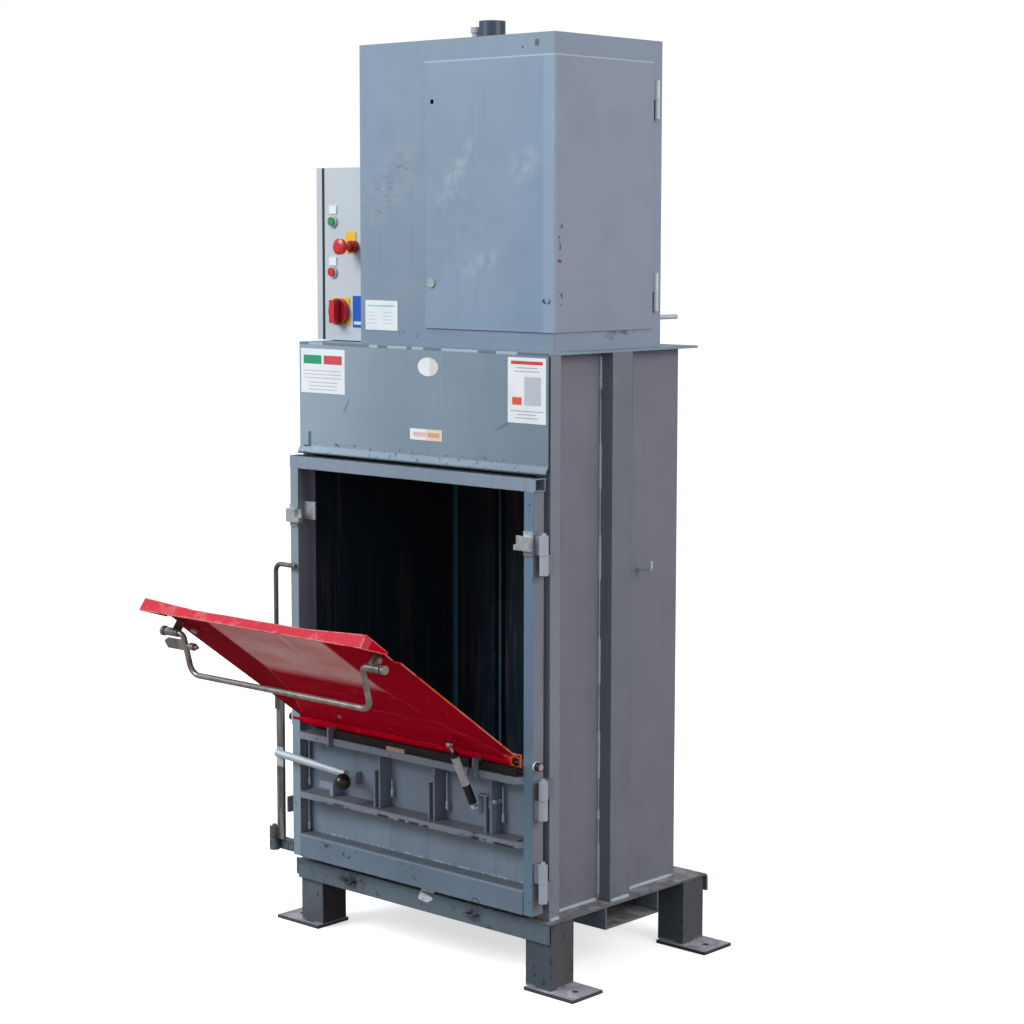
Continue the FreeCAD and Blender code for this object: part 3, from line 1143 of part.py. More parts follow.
door_x = ("-enc_door_left", "-enc_left - enc_seal")
enc_pan = cut(
    box(door_x, (face, "enc_back"), ("enc_low", "enc_high")),
    box(("enc_door_sheet - enc_door_left", "-enc_left"),
        (face + " + enc_door_sheet", "enc_back - enc_door_sheet"),
        ("enc_low + enc_door_sheet", "enc_high - enc_door_sheet")))
enc_lock_spot = ("-enc_lock_y", "enc_lock_z")
keep("enclosure_door", cut(
    fuse(enc_pan, *enc_door_knuckles),
    cylinder("x", enc_lock_spot, ("-enc_door_left - 1", "6 - enc_door_left"),
             "enc_lock_radius + cam_play"), *enc_bores))
keep("enclosure_lock", fuse(
    cylinder("x", enc_lock_spot, ("-enc_door_left - enc_lock_proud", "-enc_door_left"),
             "enc_lock_head"),
    cylinder("x", enc_lock_spot, ("-enc_door_left", "enc_lock_long - enc_door_left"),
             "enc_lock_radius")))
keep("enclosure_seal", cut(
    box(("-enc_left - enc_seal + 0.3", "-enc_left"), (face, "enc_back"), ("enc_low", "enc_high")),
    box(("-enc_left - enc_seal - 1", "1 - enc_left"),
        (face + " + enc_seal_wide", "enc_back - enc_seal_wide"),
        ("enc_low + enc_seal_wide", "enc_high - enc_seal_wide"))))

stop_spot = ("-stop_x", "stop_z")
bezels = [cut(on_face(x, z, "0", "bezel_proud", "bezel_radius"),
              on_face(x, z, "-1", "bezel_proud + 1", "bezel_bore"))
          for x, z in (("-green_x", "green_z"), ("-red_x", "red_z"))]
stop_collar = cut(
    fuse(on_face("-stop_x", "stop_z", "yellow_thick", "stop_collar_proud", "stop_collar"),
         on_face("-stop_x", "stop_z", "0", "stop_collar_proud", "stop_neck")),
    on_face("-stop_x", "stop_z", "stop_bore_start", "stop_collar_proud + 1",
            "stop_stem + button_play"))
keep("button_bezels", group(stop_collar, *bezels))
stop_plate = cut(plate_on(face, ("-stop_plate_left", "-stop_plate_right"),
                          ("stop_plate_low", "stop_plate_high"), "yellow_thick"),
                 on_face("-stop_x", "stop_z", "-1", "yellow_thick + 1", "stop_neck + cap_play"))
switch_plate = cut(plate_on(face, ("-switch_x - switch_half_x", "switch_half_x - switch_x"),
                            ("switch_z - switch_half_z", "switch_z + switch_half_z"),
                            "yellow_thick"),
                   on_face("-switch_x", "switch_z", "-1", "yellow_thick + 1",
                           "switch_shaft + button_play"))
keep("yellow_plates", group(stop_plate, switch_plate))
keep("blue_plate", plate_on(face, ("-blue_left", "-blue_right"), ("blue_low", "blue_high"),
                            "plate_thick"))
keep("label_plates", group(
    plate_on(face, ("-green_x - holder_half", "holder_half - green_x"),
             ("holder_green_z - holder_tall / 2", "holder_green_z + holder_tall / 2"),
             "holder_thick"),
    plate_on(face, ("-red_x - holder_half", "holder_half - red_x"),
             ("holder_red_z - holder_tall / 2", "holder_red_z + holder_tall / 2"),
             "holder_thick"),
    plate_on("-cab_front", ("-plate_left", "-plate_right"), ("plate_low", "plate_high"),
             "plate_thick")))
for label, x, z in (("green_button", "-green_x", "green_z"), ("red_button", "-red_x", "red_z")):
    keep(label, on_face(x, z, "-button_inside", "button_proud", "bezel_bore - button_play"))
stop_head = turned([
    ("0", "0"),
    ("stop_stem", "0"),
    ("stop_stem", "stop_cone_start"),
    ("stop_head", "stop_cone_end"),
    ("stop_head", "stop_rim"),
    ("stop_head - stop_crown", "stop_top"),
    ("0", "stop_top"),
])
keep("stop_head", stand(stop_head, "-stop_x", face + " - stop_start", "stop_z",
                        Rotation(Vector(1, 0, 0), 90)))
keep("main_switch", fuse(
    on_face("-switch_x", "switch_z", "-switch_shaft_in", "switch_disc_start + 1", "switch_shaft"),
    on_face("-switch_x", "switch_z", "switch_disc_start", "switch_disc_end", "switch_disc"),
    box(("-switch_x - switch_grip_half", "switch_grip_half - switch_x"),
        (face + " - switch_grip_end", face + " - switch_disc_end + 1"),
        ("switch_z - switch_grip_long", "switch_z + switch_grip_long"))))

# ---------------------------------------------------------------- write the files
doc.recompute()
for obj in doc.Objects:
    if "Invalid" in obj.State or "Error" in obj.State:
        raise RuntimeError("Feature not built: %s %s" % (obj.Label, obj.State))
os.makedirs("parts", exist_ok=True)
for obj in subparts:
    shape = obj.Shape
    if shape.isNull() or not shape.isValid():
        raise RuntimeError("Sub-part not valid: " + obj.Label)
    shape.exportStep(os.path.join("parts", obj.Label + ".step"))
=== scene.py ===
import math
import random

import bmesh
import bpy
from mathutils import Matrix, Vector


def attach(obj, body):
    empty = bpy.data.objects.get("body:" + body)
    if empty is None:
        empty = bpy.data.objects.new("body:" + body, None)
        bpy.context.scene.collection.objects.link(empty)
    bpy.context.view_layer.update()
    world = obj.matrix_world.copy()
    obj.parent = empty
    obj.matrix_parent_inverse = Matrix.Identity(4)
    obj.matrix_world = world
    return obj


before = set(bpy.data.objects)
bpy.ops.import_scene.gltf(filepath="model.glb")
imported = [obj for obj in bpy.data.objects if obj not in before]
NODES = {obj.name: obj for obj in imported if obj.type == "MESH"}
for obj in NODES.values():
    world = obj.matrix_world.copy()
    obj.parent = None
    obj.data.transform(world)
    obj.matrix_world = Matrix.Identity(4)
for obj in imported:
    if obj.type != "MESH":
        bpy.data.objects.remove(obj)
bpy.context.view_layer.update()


# ---- colour and node helpers
def rgb(red, green, blue):
    """Screen colour 0..255 as linear RGBA."""
    def channel(value):
        value /= 255.0
        return value / 12.92 if value <= 0.04045 else ((value + 0.055) / 1.055) ** 2.4
    return (channel(red), channel(green), channel(blue), 1.0)


class Graph:
    """A material whose shader nodes are added and linked by short calls."""

    def __init__(self, name):
        self.material = bpy.data.materials.new(name)
        self.material.use_nodes = True
        self.tree = self.material.node_tree
        self.shader = self.tree.nodes["Principled BSDF"]
        self.coords = self.tree.nodes.new("ShaderNodeTexCoord")
        self.split = {}

    def put(self, socket, value):
        if isinstance(value, bpy.types.NodeSocket):
            self.tree.links.new(value, socket)
        else:
            socket.default_value = value

    def give(self, name, value):
        """Sets or links one input of the material's shader."""
        self.put(self.shader.inputs[name], value)

    def add(self, kind, inputs, **settings):
        """Adds a node, applies its settings, then sets or links its inputs."""
        node = self.tree.nodes.new("ShaderNode" + kind)
        for key, value in settings.items():
            setattr(node, key, value)
        for key, value in inputs.items():
            self.put(node.inputs[key], value)
        return node

    def math(self, kind, first, second=0.0, clamp=False):
        return self.add("Math", {0: first, 1: second}, operation=kind, use_clamp=clamp).outputs[0]

    def mix(self, factor, first, second):
        return self.add("Mix", {0: factor, 6: first, 7: second}, data_type="RGBA").outputs[2]

    def ramp(self, value, low, high, to_low=0.0, to_high=1.0):
        """Smooth step from to_low at low to to_high at high."""
        if low > high:
            low, high, to_low, to_high = high, low, to_high, to_low
        return self.add("MapRange", {0: value, 1: low, 2: high, 3: to_low, 4: to_high},
                        interpolation_type="SMOOTHSTEP").outputs[0]

    def noise(self, scale, detail, stretch=None, rough=0.55, turn=(0, 0, 0), seed=0.0):
        source = self.coords.outputs["Object"]
        if stretch or seed:
            source = self.add("Mapping", {"Vector": source, "Rotation": turn,
                                          "Location": (seed, seed * 0.7, seed * 1.3),
                                          "Scale": stretch or (1, 1, 1)}).outputs["Vector"]
        return self.add("TexNoise", {"Vector": source, "Scale": scale, "Detail": detail,
                                     "Roughness": rough}).outputs["Fac"]

    def flecks(self, scale, detail, low, high, most=1.0, **shape):
        """Noise cut to a mask: 0 below low, most above high."""
        return self.ramp(self.noise(scale, detail, **shape), low, high, 0.0, most)

    def part(self, source, name):
        """One part of the point ("Object") or of the normal ("Normal"), in the frame at rest."""
        if source not in self.split:
            self.split[source] = self.add("SeparateXYZ", {0: self.coords.outputs[source]})
        return self.split[source].outputs[name]

    def axis(self, name):
        """One coordinate of the point, in metres."""
        return self.part("Object", name)

    def facing(self, name):
        """How squarely the face looks along one axis, either way."""
        return self.math("ABSOLUTE", self.part("Normal", name))

    def facing_out(self, lean):
        """Signed: -1 on the side of a leaning sheet that looks into the machine."""
        return self.math("ADD", self.both(self.part("Normal", "Y"), -math.cos(lean)),
                         self.both(self.part("Normal", "Z"), -math.sin(lean)))

    def edges(self, radius):
        """1 near sharp edges, 0 on flat faces."""
        soft = self.add("Bevel", {"Radius": radius}, samples=4)
        face = self.add("NewGeometry", {})
        dot = self.add("VectorMath", {0: soft.outputs[0], 1: face.outputs["Normal"]},
                       operation="DOT_PRODUCT")
        return self.math("SUBTRACT", 1.0, dot.outputs["Value"], clamp=True)

    def bump(self, height, strength, distance, bevel):
        soft = self.add("Bevel", {"Radius": bevel}, samples=4)
        node = self.add("Bump", {"Strength": strength, "Distance": distance, "Height": height,
                                 "Normal": soft.outputs[0]})
        self.give("Normal", node.outputs[0])

    def fall(self, value, low, high, most=1.0):
        """Smooth step down: most at low, 0 at high."""
        return self.ramp(value, low, high, most, 0.0)

    def faces(self, name, low=0.7):
        """1 on the faces that look along one axis."""
        return self.ramp(self.facing(name), low, 0.8)

    def under(self, name, low, high, most=1.0):
        """Fades along one axis from most at low to 0 at high."""
        return self.fall(self.axis(name), low, high, most)

    def over(self, name, low, high, most=1.0):
        """Fades along one axis from 0 at low to most at high."""
        return self.ramp(self.axis(name), low, high, 0.0, most)

    def band(self, value, low, high, soft=0.002):
        """1 where the value lies between low and high."""
        return self.both(self.ramp(value, low - soft, low + soft),
                         self.fall(value, high - soft, high + soft))

    def within(self, name, low, high, soft=0.002):
        return self.band(self.axis(name), low, high, soft)

    def block(self, x0, z0, x1, z1, soft=0.0004):
        """1 inside a rectangle seen from the front."""
        return self.both(self.within("X", x0, x1, soft), self.within("Z", z0, z1, soft))

    def reach(self, across, up):
        """Length of a slanting step."""
        return self.math("SQRT", self.math("ADD", self.both(across, across), self.both(up, up)))

    def spot(self, x, z, half_x, half_z, soft=0.1, turn=0.0):
        """1 inside an ellipse seen from the front."""
        across = self.math("SUBTRACT", self.axis("X"), x)
        up = self.math("SUBTRACT", self.axis("Z"), z)
        if turn:
            c = math.cos(turn)
            s = math.sin(turn)
            turned = self.math("ADD", self.both(across, c), self.both(up, s))
            up = self.math("SUBTRACT", self.both(up, c), self.both(across, s))
            across = turned
        far = self.reach(self.math("DIVIDE", across, half_x), self.math("DIVIDE", up, half_z))
        return self.fall(far, 1.0 - soft, 1.0 + soft)

    def beside(self, first, second, place):
        """Distance of the point from a line along the third axis."""
        return self.reach(self.math("SUBTRACT", self.axis(first), place[0]),
                          self.math("SUBTRACT", self.axis(second), place[1]))

    def along(self, place, lean):
        """Distance up a line that leans out from its foot at y, z."""
        out = self.math("SUBTRACT", self.axis("Y"), place[0])
        up = self.math("SUBTRACT", self.axis("Z"), place[1])
        return self.math("ADD", self.both(out, -math.sin(lean)), self.both(up, math.cos(lean)))

    def both(self, *masks):
        """Where every mask holds."""
        result = masks[0]
        for mask in masks[1:]:
            result = self.math("MULTIPLY", result, mask)
        return result

    def either(self, *masks):
        """Where any mask holds."""
        result = masks[0]
        for mask in masks[1:]:
            result = self.math("MAXIMUM", result, mask)
        return result

    def marked(self, result, marks):
        """Lays the marks of one piece over its base colour."""
        for mask, tint in marks(self) if marks else ():
            result = self.mix(mask, result, rgb(*tint))
        return result


RUN_SHADE = 0.72  # rain streaks: share of the shade
RUB_GAIN, RUB_LIFT = 1.18, 10  # rubbed paint: gain and lift of the colour
CHIP_EDGE = (0.015, 0.12)  # how sharp an edge starts to chip, and is fully chipped
RIM = (0.02, 0.12)  # the same for rims that are bare all along


def paint(name, colour, shade, rough=0.42, chip=(60, 58, 56), chips=0.35, streaks=0.25,
          blotch=0.5, scuffs=0.25, dirt=None, extras=None, seed=0.0, polish=None, wear=0.004):
    """Brushed-on machine paint: clouds, rain streaks, scuffs, chips at the edges."""
    g = Graph(name)
    clouds = g.flecks(3.2, 5, 0.35, 0.7, blotch, seed=seed + 1)
    mottle = g.flecks(46, 6, 0.5, 0.8, 0.22, seed=seed + 2)
    runs = g.flecks(7, 4, 0.56, 0.75, streaks, stretch=(9, 9, 0.5), seed=seed + 3)
    rubs = g.flecks(14, 8, 0.64, 0.70, scuffs, stretch=(1.0, 1.0, 6.5), turn=(0.5, 0.35, 0.2),
                    rough=0.72, seed=seed + 4)
    result = g.mix(clouds, rgb(*colour), rgb(*shade))
    result = g.mix(mottle, result, rgb(*shade))
    result = g.mix(runs, result, rgb(*[v * RUN_SHADE for v in shade]))
    result = g.mix(rubs, result, rgb(*[min(255, v * RUB_GAIN + RUB_LIFT) for v in colour]))
    if dirt:
        low, high, amount, tint = dirt
        spots = g.flecks(11, 7, 0.42, 0.66, rough=0.65, seed=seed + 5)
        result = g.mix(g.both(g.under("Z", low, high), spots, amount), result, rgb(*tint))
    broken = g.flecks(60, 7, 0.49, 0.56, rough=0.7, seed=seed + 6)
    worn = g.both(g.ramp(g.edges(wear), *CHIP_EDGE), broken)
    lone = g.flecks(23, 9, 0.715, 0.735, 0.8, rough=0.78, seed=seed + 7)
    chipped = g.math("MULTIPLY", g.either(worn, lone), chips, clamp=True)
    result = g.mix(chipped, result, rgb(*chip))
    g.give("Base Color", g.marked(result, extras))
    if polish:
        g.give("IOR", polish(g))
    g.give("Roughness", g.ramp(g.noise(9, 5, seed=seed + 8), 0.3, 0.7, rough - 0.07, rough + 0.12))
    skin = g.math("ADD", g.both(g.noise(230, 3, seed=seed + 9), 0.35),
                  g.both(g.noise(8, 3, seed=seed + 10), 0.9))
    skin = g.math("SUBTRACT", skin, g.both(chipped, 0.5))
    g.bump(skin, strength=0.22, distance=0.0012, bevel=0.0014)
    return g.material


def metal(name, colour, shade, rough=0.38, metallic=0.85, rust=0.0, rust_tint=(112, 66, 38),
          grain=(1, 1, 1), extras=None, seed=0.0):
    """Zinc or bare steel with spangle, dull patches and a little rust."""
    g = Graph(name)
    patches = g.noise(38, 4, seed=seed + 1)
    brushed = g.noise(90, 4, stretch=grain, seed=seed + 2)
    result = g.mix(g.ramp(patches, 0.35, 0.68), rgb(*colour), rgb(*shade))
    result = g.mix(g.ramp(brushed, 0.45, 0.7, 0.0, 0.35), result, rgb(*[v * 0.75 for v in shade]))
    if rust:
        spots = g.flecks(55, 8, 0.56, 0.68, rust, rough=0.7, seed=seed + 3)
        result = g.mix(spots, result, rgb(*rust_tint))
    g.give("Base Color", g.marked(result, extras))
    g.give("Roughness", g.ramp(patches, 0.3, 0.7, rough - 0.08, rough + 0.14))
    g.give("Metallic", metallic)
    g.bump(brushed, strength=0.15, distance=0.0005, bevel=0.0008)
    return g.material


def plain(name, colour, shade, rough=0.5, scale=30.0, bump=0.1, coat=0.0, amount=0.5,
          extras=None, seed=0.0):
    """Plastic, rubber or printed plate with slight mottling and dust."""
    g = Graph(name)
    spots = g.flecks(scale, 5, 0.4, 0.7, amount, seed=seed + 1)
    result = g.mix(spots, rgb(*colour), rgb(*shade))
    g.give("Base Color", g.marked(result, extras))
    g.give("Roughness", g.ramp(g.noise(scale * 2, 3, seed=seed + 2), 0.3, 0.7,
                               rough - 0.06, rough + 0.1))
    g.give("Coat Weight", coat)
    g.bump(g.noise(scale * 9, 3, seed=seed + 3), bump, distance=0.0006, bevel=0.0008)
    return g.material


# ---- places in the frame, metres
CABINET_HINGE = (0.398, 0.123)  # x, y
CABINET_HINGE_SIDE = (0.3916, 0.3920)  # x: the barrels stand outside this
CABINET_BARREL = (0.0068, 0.0074)  # radius: metal inside, paint outside
DOOR_HINGE = (0.435, -0.320)  # x, y
DOOR_BARREL = (0.0108, 0.0112)
SWITCH_SPOT = (-0.363, 1.581)  # x, z
SWITCH_RIM = (0.0305, 0.0315)  # radius
FLAP_PIVOT = (-0.321, 0.550)  # y, z
BOLT_HEAD, BOLT_RING, BOLT_WASHER = (0.0075, 0.0085), (0.0105, 0.0115), (0.020, 0.022)  # radii
FLAP_LEAN = math.radians(54.1)
SPRING_FOOT = (-0.340, 0.427)  # y, z
SPRING_LEAN = math.radians(26.87)
STUD_PLATE = (0.2486, 0.2526)  # x, just around the plate
WALL_IN = 0.3795  # half the chamber's width
CHAMBER_FRONT, CHAMBER_BACK = -0.281, 0.2285
ROOF_JOINT = 1.4995  # z between hood and top plate

# y span in which each piece's front skin begins: the skin lies before it
HOOD_SKIN = (-0.2885, -0.2875)
CABINET_SKIN = (-0.2325, -0.2305)
CABINET_DOOR_SKIN = (-0.236, -0.233)
RAIL_SKIN = (-0.3445, -0.343)
LEVER_SKIN = (-0.341, -0.339)
ENCLOSURE_SKIN = (-0.1995, -0.199)
SWITCH_DISC = (-0.2170, -0.2160)  # the disc lies behind this
MIDDLE = (-0.01, 0.01)  # x span that parts left from right

# the flap's press: distances up the sheet, depths of the two steps, hip slope
FLAP_HALF = 0.377
FOLD_LOW, FOLD_HIGH, FLANGE_FOLD = 0.190, 0.360, 0.600
DEPTH_LOW, DEPTH_HIGH = 0.007, 0.010
HIP_SLOPE = 18.7


# ---- marks on the painted pieces
# Lengths and places are metres in the frame at rest, and tints are screen colours. flecks takes
# scale, detail, the noise values where a fleck starts and is full, and its strength.
def chamber_inside(g):
    """Painted shade darkens the chamber, with brownish runs and teal painted highlights at its
    corners.
    """
    # painted shade: the chamber's inner walls are painted dark; the teal lines are painted
    # highlights
    near = g.both(g.within("X", -WALL_IN, WALL_IN, 0.0006),
                  g.within("Y", CHAMBER_FRONT, CHAMBER_BACK, 0.0006))
    runs = g.flecks(7, 4, 0.52, 0.64, 0.6, stretch=(7, 7, 0.3), rough=0.6, seed=5)
    pale = g.flecks(13, 4, 0.60, 0.68, 0.6, stretch=(7, 7, 0.2), seed=11)
    lines = g.either(*[g.within("X", low, high) for low, high in
                       ((-0.378, -0.368), (-0.233, -0.226), (-0.214, -0.206))])
    back = g.over("Y", 0.215, 0.220)
    return [(near, (24, 44, 56)), (g.both(near, runs), (84, 70, 66)),
            (g.both(near, pale), (70, 84, 92)), (g.both(near, back, lines), (70, 138, 158))]


def hood_marks(g):
    """Painted sheen paler on the left, painted shade duller on the right, painted shadow under the
    lip, dark inside, sparse rust on the lip, tacked roof joint.
    """
    front = g.under("Y", *HOOD_SKIN)
    # painted light: the front is painted paler on the left as a sheen and duller on the right as
    # shade
    left = g.both(front, g.under("X", -0.40, -0.02))
    right = g.both(front, g.over("X", 0.0, 0.42))
    lip = g.both(front, g.within("Z", 1.224, 1.256, 0.004),
                 g.flecks(95, 5, 0.585, 0.62, 0.85, rough=0.7, seed=3))
    shadow = g.both(front, g.within("Z", 1.20, 1.2285, 0.001))
    stain = g.both(front, g.within("X", 0.046, 0.052, 0.006),
                   g.ramp(g.axis("Z"), 1.30, 1.50, 0.35, 1.0),
                   g.flecks(40, 4, 0.35, 0.6, 0.35, seed=8))
    tacks = g.flecks(14, 2, 0.49, 0.51, stretch=(1, 0.1, 0.1), seed=6)
    seam = g.both(front, g.within("Z", ROOF_JOINT, 1.508, 0.001))
    scrape = g.both(front, g.either(g.spot(0.285, 1.335, 0.004, 0.030, 0.5, -1.1),
                                    g.spot(-0.250, 1.350, 0.003, 0.022, 0.5, -0.5)), 0.5)
    inside = g.both(g.within("Y", -0.2889, -0.2, 0.0006),
                    g.under("Z", ROOF_JOINT - 0.001, ROOF_JOINT))
    return [(left, (149, 167, 183)), (right, (119, 136, 152)), (lip, (70, 62, 58)),
            (stain, (160, 140, 116)), (g.both(seam, 0.6), (84, 94, 104)),
            (g.both(seam, tacks, 0.9), (176, 190, 202)), (scrape, (84, 96, 108)),
            (shadow, (30, 36, 42)), (inside, (22, 28, 32))]


def cabinet_barrels(g):
    """Hinge barrels of the cabinet door, on the cabinet and on the door alike."""
    return g.both(g.fall(g.beside("X", "Y", CABINET_HINGE), *CABINET_BARREL),
                  g.over("X", *CABINET_HINGE_SIDE))


def cabinet_marks(g):
    """Side faces tinted as painted light; scratched patch on the left, plug at the top, smears and
    ink below the door.
    """
    front = g.under("Y", *CABINET_SKIN)
    # painted light: the side faces are tinted apart from the front
    side = g.faces("X")
    low = g.both(front, g.under("Z", 1.50, 1.75, 0.75))
    scratch = g.both(front, g.spot(-0.150, 1.895, 0.105, 0.045, 0.35, 0.95),
                     g.flecks(34, 8, 0.53, 0.62, 0.5, stretch=(1.0, 1.0, 3.0), turn=(0, 0.9, 0),
                              rough=0.75, seed=9))
    halo = g.both(front, g.spot(-0.150, 1.89, 0.13, 0.075, 0.5, 0.95),
                  g.flecks(18, 6, 0.4, 0.65, 0.3, seed=4))
    plug = g.both(front, g.block(0.330, 2.205, 0.343, 2.221, 0.001))
    dot = g.both(front, g.spot(0.292, 2.205, 0.003, 0.003))
    smear = g.both(side, g.within("Z", 1.522, 1.556, 0.006), g.within("Y", -0.05, 0.08, 0.02),
                   g.flecks(22, 7, 0.50, 0.60, 0.75, stretch=(1, 1, 2.5), turn=(0.6, 0, 0),
                            rough=0.7, seed=31))
    ink = g.both(front, g.block(-0.118, 1.522, -0.035, 1.540, 0.004),
                 g.flecks(70, 5, 0.50, 0.58, 0.45, rough=0.7, seed=33))
    return [(side, (138, 149, 168)), (low, (126, 142, 159)), (halo, (156, 170, 184)),
            (scratch, (84, 100, 100)), (plug, (74, 92, 104)), (dot, (60, 66, 74)),
            (smear, (66, 80, 94)), (ink, (84, 92, 140)), (cabinet_barrels(g), (190, 200, 208))]


def cabinet_door_marks(g):
    """Pale rubbed spots, a chipped corner fold, painted highlights on the upper and right edges,
    sides tinted as painted light and a bluish screw mark.
    """
    front = g.under("Y", *CABINET_DOOR_SKIN)
    # painted light: the side faces are tinted apart from the front
    side = g.both(g.faces("X"), g.over("X", 0.30, 0.33))
    cloud = g.flecks(26, 6, 0.36, 0.66, seed=2)
    pale = g.either(g.spot(0.080, 1.918, 0.018, 0.085, 0.7, -0.6),
                    g.spot(0.300, 1.935, 0.045, 0.030, 0.7, 0.5),
                    g.spot(0.165, 1.705, 0.055, 0.020, 0.8, 0.5))
    soft = g.either(g.spot(0.120, 1.760, 0.16, 0.07, 0.8, 0.6),
                    g.spot(0.06, 1.84, 0.09, 0.12, 0.8))
    fold = g.both(side, g.within("Y", -0.232, -0.214, 0.001), g.under("Z", 1.80, 1.85),
                  g.flecks(75, 3, 0.60, 0.62, seed=19))
    # painted highlights: a pale strip along the right fold edge and a bright line along the upper
    # edge
    strip = g.both(front, g.over("X", 0.357, 0.364))
    right = g.both(front, g.over("X", 0.18, 0.36, 0.45))
    top = g.over("Z", 2.1815, 2.1835)
    screw = g.both(front, g.spot(0.366, 1.623, 0.008, 0.006, 0.15))
    core = g.both(front, g.spot(0.369, 1.625, 0.0045, 0.0035, 0.15))
    scuff = g.both(side, g.flecks(5, 4, 0.46, 0.62, 0.35, seed=25))
    return [(right, (122, 147, 172)), (side, (142, 149, 166)), (scuff, (130, 137, 152)),
            (g.both(strip, 0.5), (150, 168, 188)), (g.both(top, 0.8), (178, 192, 204)),
            (g.both(front, cloud, pale, 0.42), (182, 195, 206)),
            (g.both(front, cloud, soft, 0.18), (160, 175, 190)),
            (screw, (40, 62, 84)), (core, (138, 156, 176)), (g.both(fold, 0.85), (84, 52, 52)),
            (cabinet_barrels(g), (198, 208, 216))]


def upright_marks(g):
    """The two uprights catch the light differently; rusty inner edge on the left one."""
    front = g.faces("Y")
    right = g.both(front, g.over("X", *MIDDLE))
    left = g.both(front, g.under("X", *MIDDLE))
    spots = g.flecks(34, 6, 0.63, 0.66, rough=0.74, seed=6)
    rust = g.both(g.within("X", -0.349, -0.3415, 0.0015), g.flecks(20, 5, 0.38, 0.6, 0.7, seed=8))
    return [(right, (100, 127, 148)), (left, (136, 153, 165)), (g.both(spots, 0.8), (50, 50, 52)),
            (rust, (122, 96, 78))]


def rail_marks(g):
    """Painted shade on the top faces, black chips along the lower front edges, a rusty knock near
    the right end.
    """
    low = g.both(g.under("Z", 0.3585, 0.3600), g.ramp(g.axis("X"), -0.35, -0.05, 0.75, 1.0))
    broken = g.flecks(13, 8, 0.50, 0.53, rough=0.74, seed=12)
    front = g.under("Y", *RAIL_SKIN)
    knock = g.both(front, g.within("X", 0.232, 0.256, 0.004), g.within("Z", 0.34, 0.41),
                   g.flecks(48, 5, 0.38, 0.52, 0.9, seed=7))
    dots = g.both(front, g.flecks(38, 6, 0.62, 0.64, rough=0.75, seed=22), 0.85)
    # painted shade: the top faces of the rails are painted darker
    return [(g.both(g.faces("Z"), 0.7), (98, 96, 98)),
            (g.both(front, low, broken, 0.95), (40, 38, 40)),
            (dots, (52, 48, 48)), (knock, (58, 42, 38))]


def panel_marks(g):
    """Sheet behind the ribs: weld spatter along its foot, a run on the left, painted shade near
    its top under the ledge.
    """
    foot = g.both(g.within("Z", 0.2545, 0.2590, 0.0015),
                  g.flecks(44, 6, 0.47, 0.56, 0.6, rough=0.72, seed=4))
    run = g.both(g.within("X", -0.377, -0.374, 0.0015),
                 g.flecks(20, 3, 0.45, 0.55, 0.6, stretch=(0.1, 0.1, 1), seed=9))
    # painted shade: darker near the top, under the ledge rail
    top = g.both(g.over("Z", 0.46, 0.52), 0.3)
    return [(top, (100, 110, 124)), (foot, (196, 206, 216)), (run, (190, 200, 208))]


def sill_marks(g):
    """Dark knocks and a drawn loop on the folded sill, duller on top and below."""
    front = g.faces("Y", 0.5)
    knocks = g.both(g.within("Z", 0.205, 0.245, 0.01),
                    g.either(g.within("X", -0.31, -0.18, 0.01), g.within("X", -0.02, 0.06, 0.01),
                             g.within("X", 0.21, 0.25, 0.004)),
                    g.flecks(60, 6, 0.56, 0.60, rough=0.7, seed=3))
    loop = g.both(front, g.spot(0.232, 0.195, 0.013, 0.011, 0.12),
                  g.math("SUBTRACT", 1.0, g.spot(0.232, 0.195, 0.009, 0.007, 0.12)))
    lower = g.both(front, g.under("Z", 0.175, 0.200, 0.5))
    return [(g.both(g.faces("Z", 0.5), 0.8), (88, 92, 98)), (lower, (86, 98, 112)),
            (g.both(front, knocks, 0.9), (40, 56, 66)), (g.both(loop, 0.7), (52, 62, 72))]


def base_marks(g):
    """Mottled greenish grey apron with dark scratches and oil; pale rubbed deck edge."""
    front = g.faces("Y")
    tint = g.both(front, g.ramp(g.noise(5, 6, seed=2), 0.4, 0.6, 0.2, 0.8))
    scratch = g.flecks(26, 8, 0.62, 0.65, stretch=(1, 1, 4.0), turn=(0.0, 0.9, 0.0), rough=0.75,
                       seed=9)
    side = g.both(g.faces("X"), g.over("Z", 0.10, 0.12))
    top = g.faces("Z")
    rub = g.flecks(24, 7, 0.46, 0.58, rough=0.72, seed=5)
    pitted = g.both(g.flecks(38, 7, 0.585, 0.62, rough=0.75, seed=7), 0.8)
    patch = g.either(g.spot(-0.235, 0.150, 0.045, 0.016, 0.6),
                     g.spot(0.190, 0.150, 0.028, 0.016, 0.6))
    oil = g.both(front, patch, g.flecks(50, 6, 0.44, 0.52, rough=0.7, seed=27), 0.8)
    return [(side, (104, 106, 110)), (tint, (96, 113, 122)), (top, (118, 116, 120)),
            (g.both(top, rub, 0.8), (168, 162, 164)), (g.both(scratch, front, 0.8), (46, 60, 64)),
            (pitted, (58, 60, 62)), (oil, (40, 46, 50))]


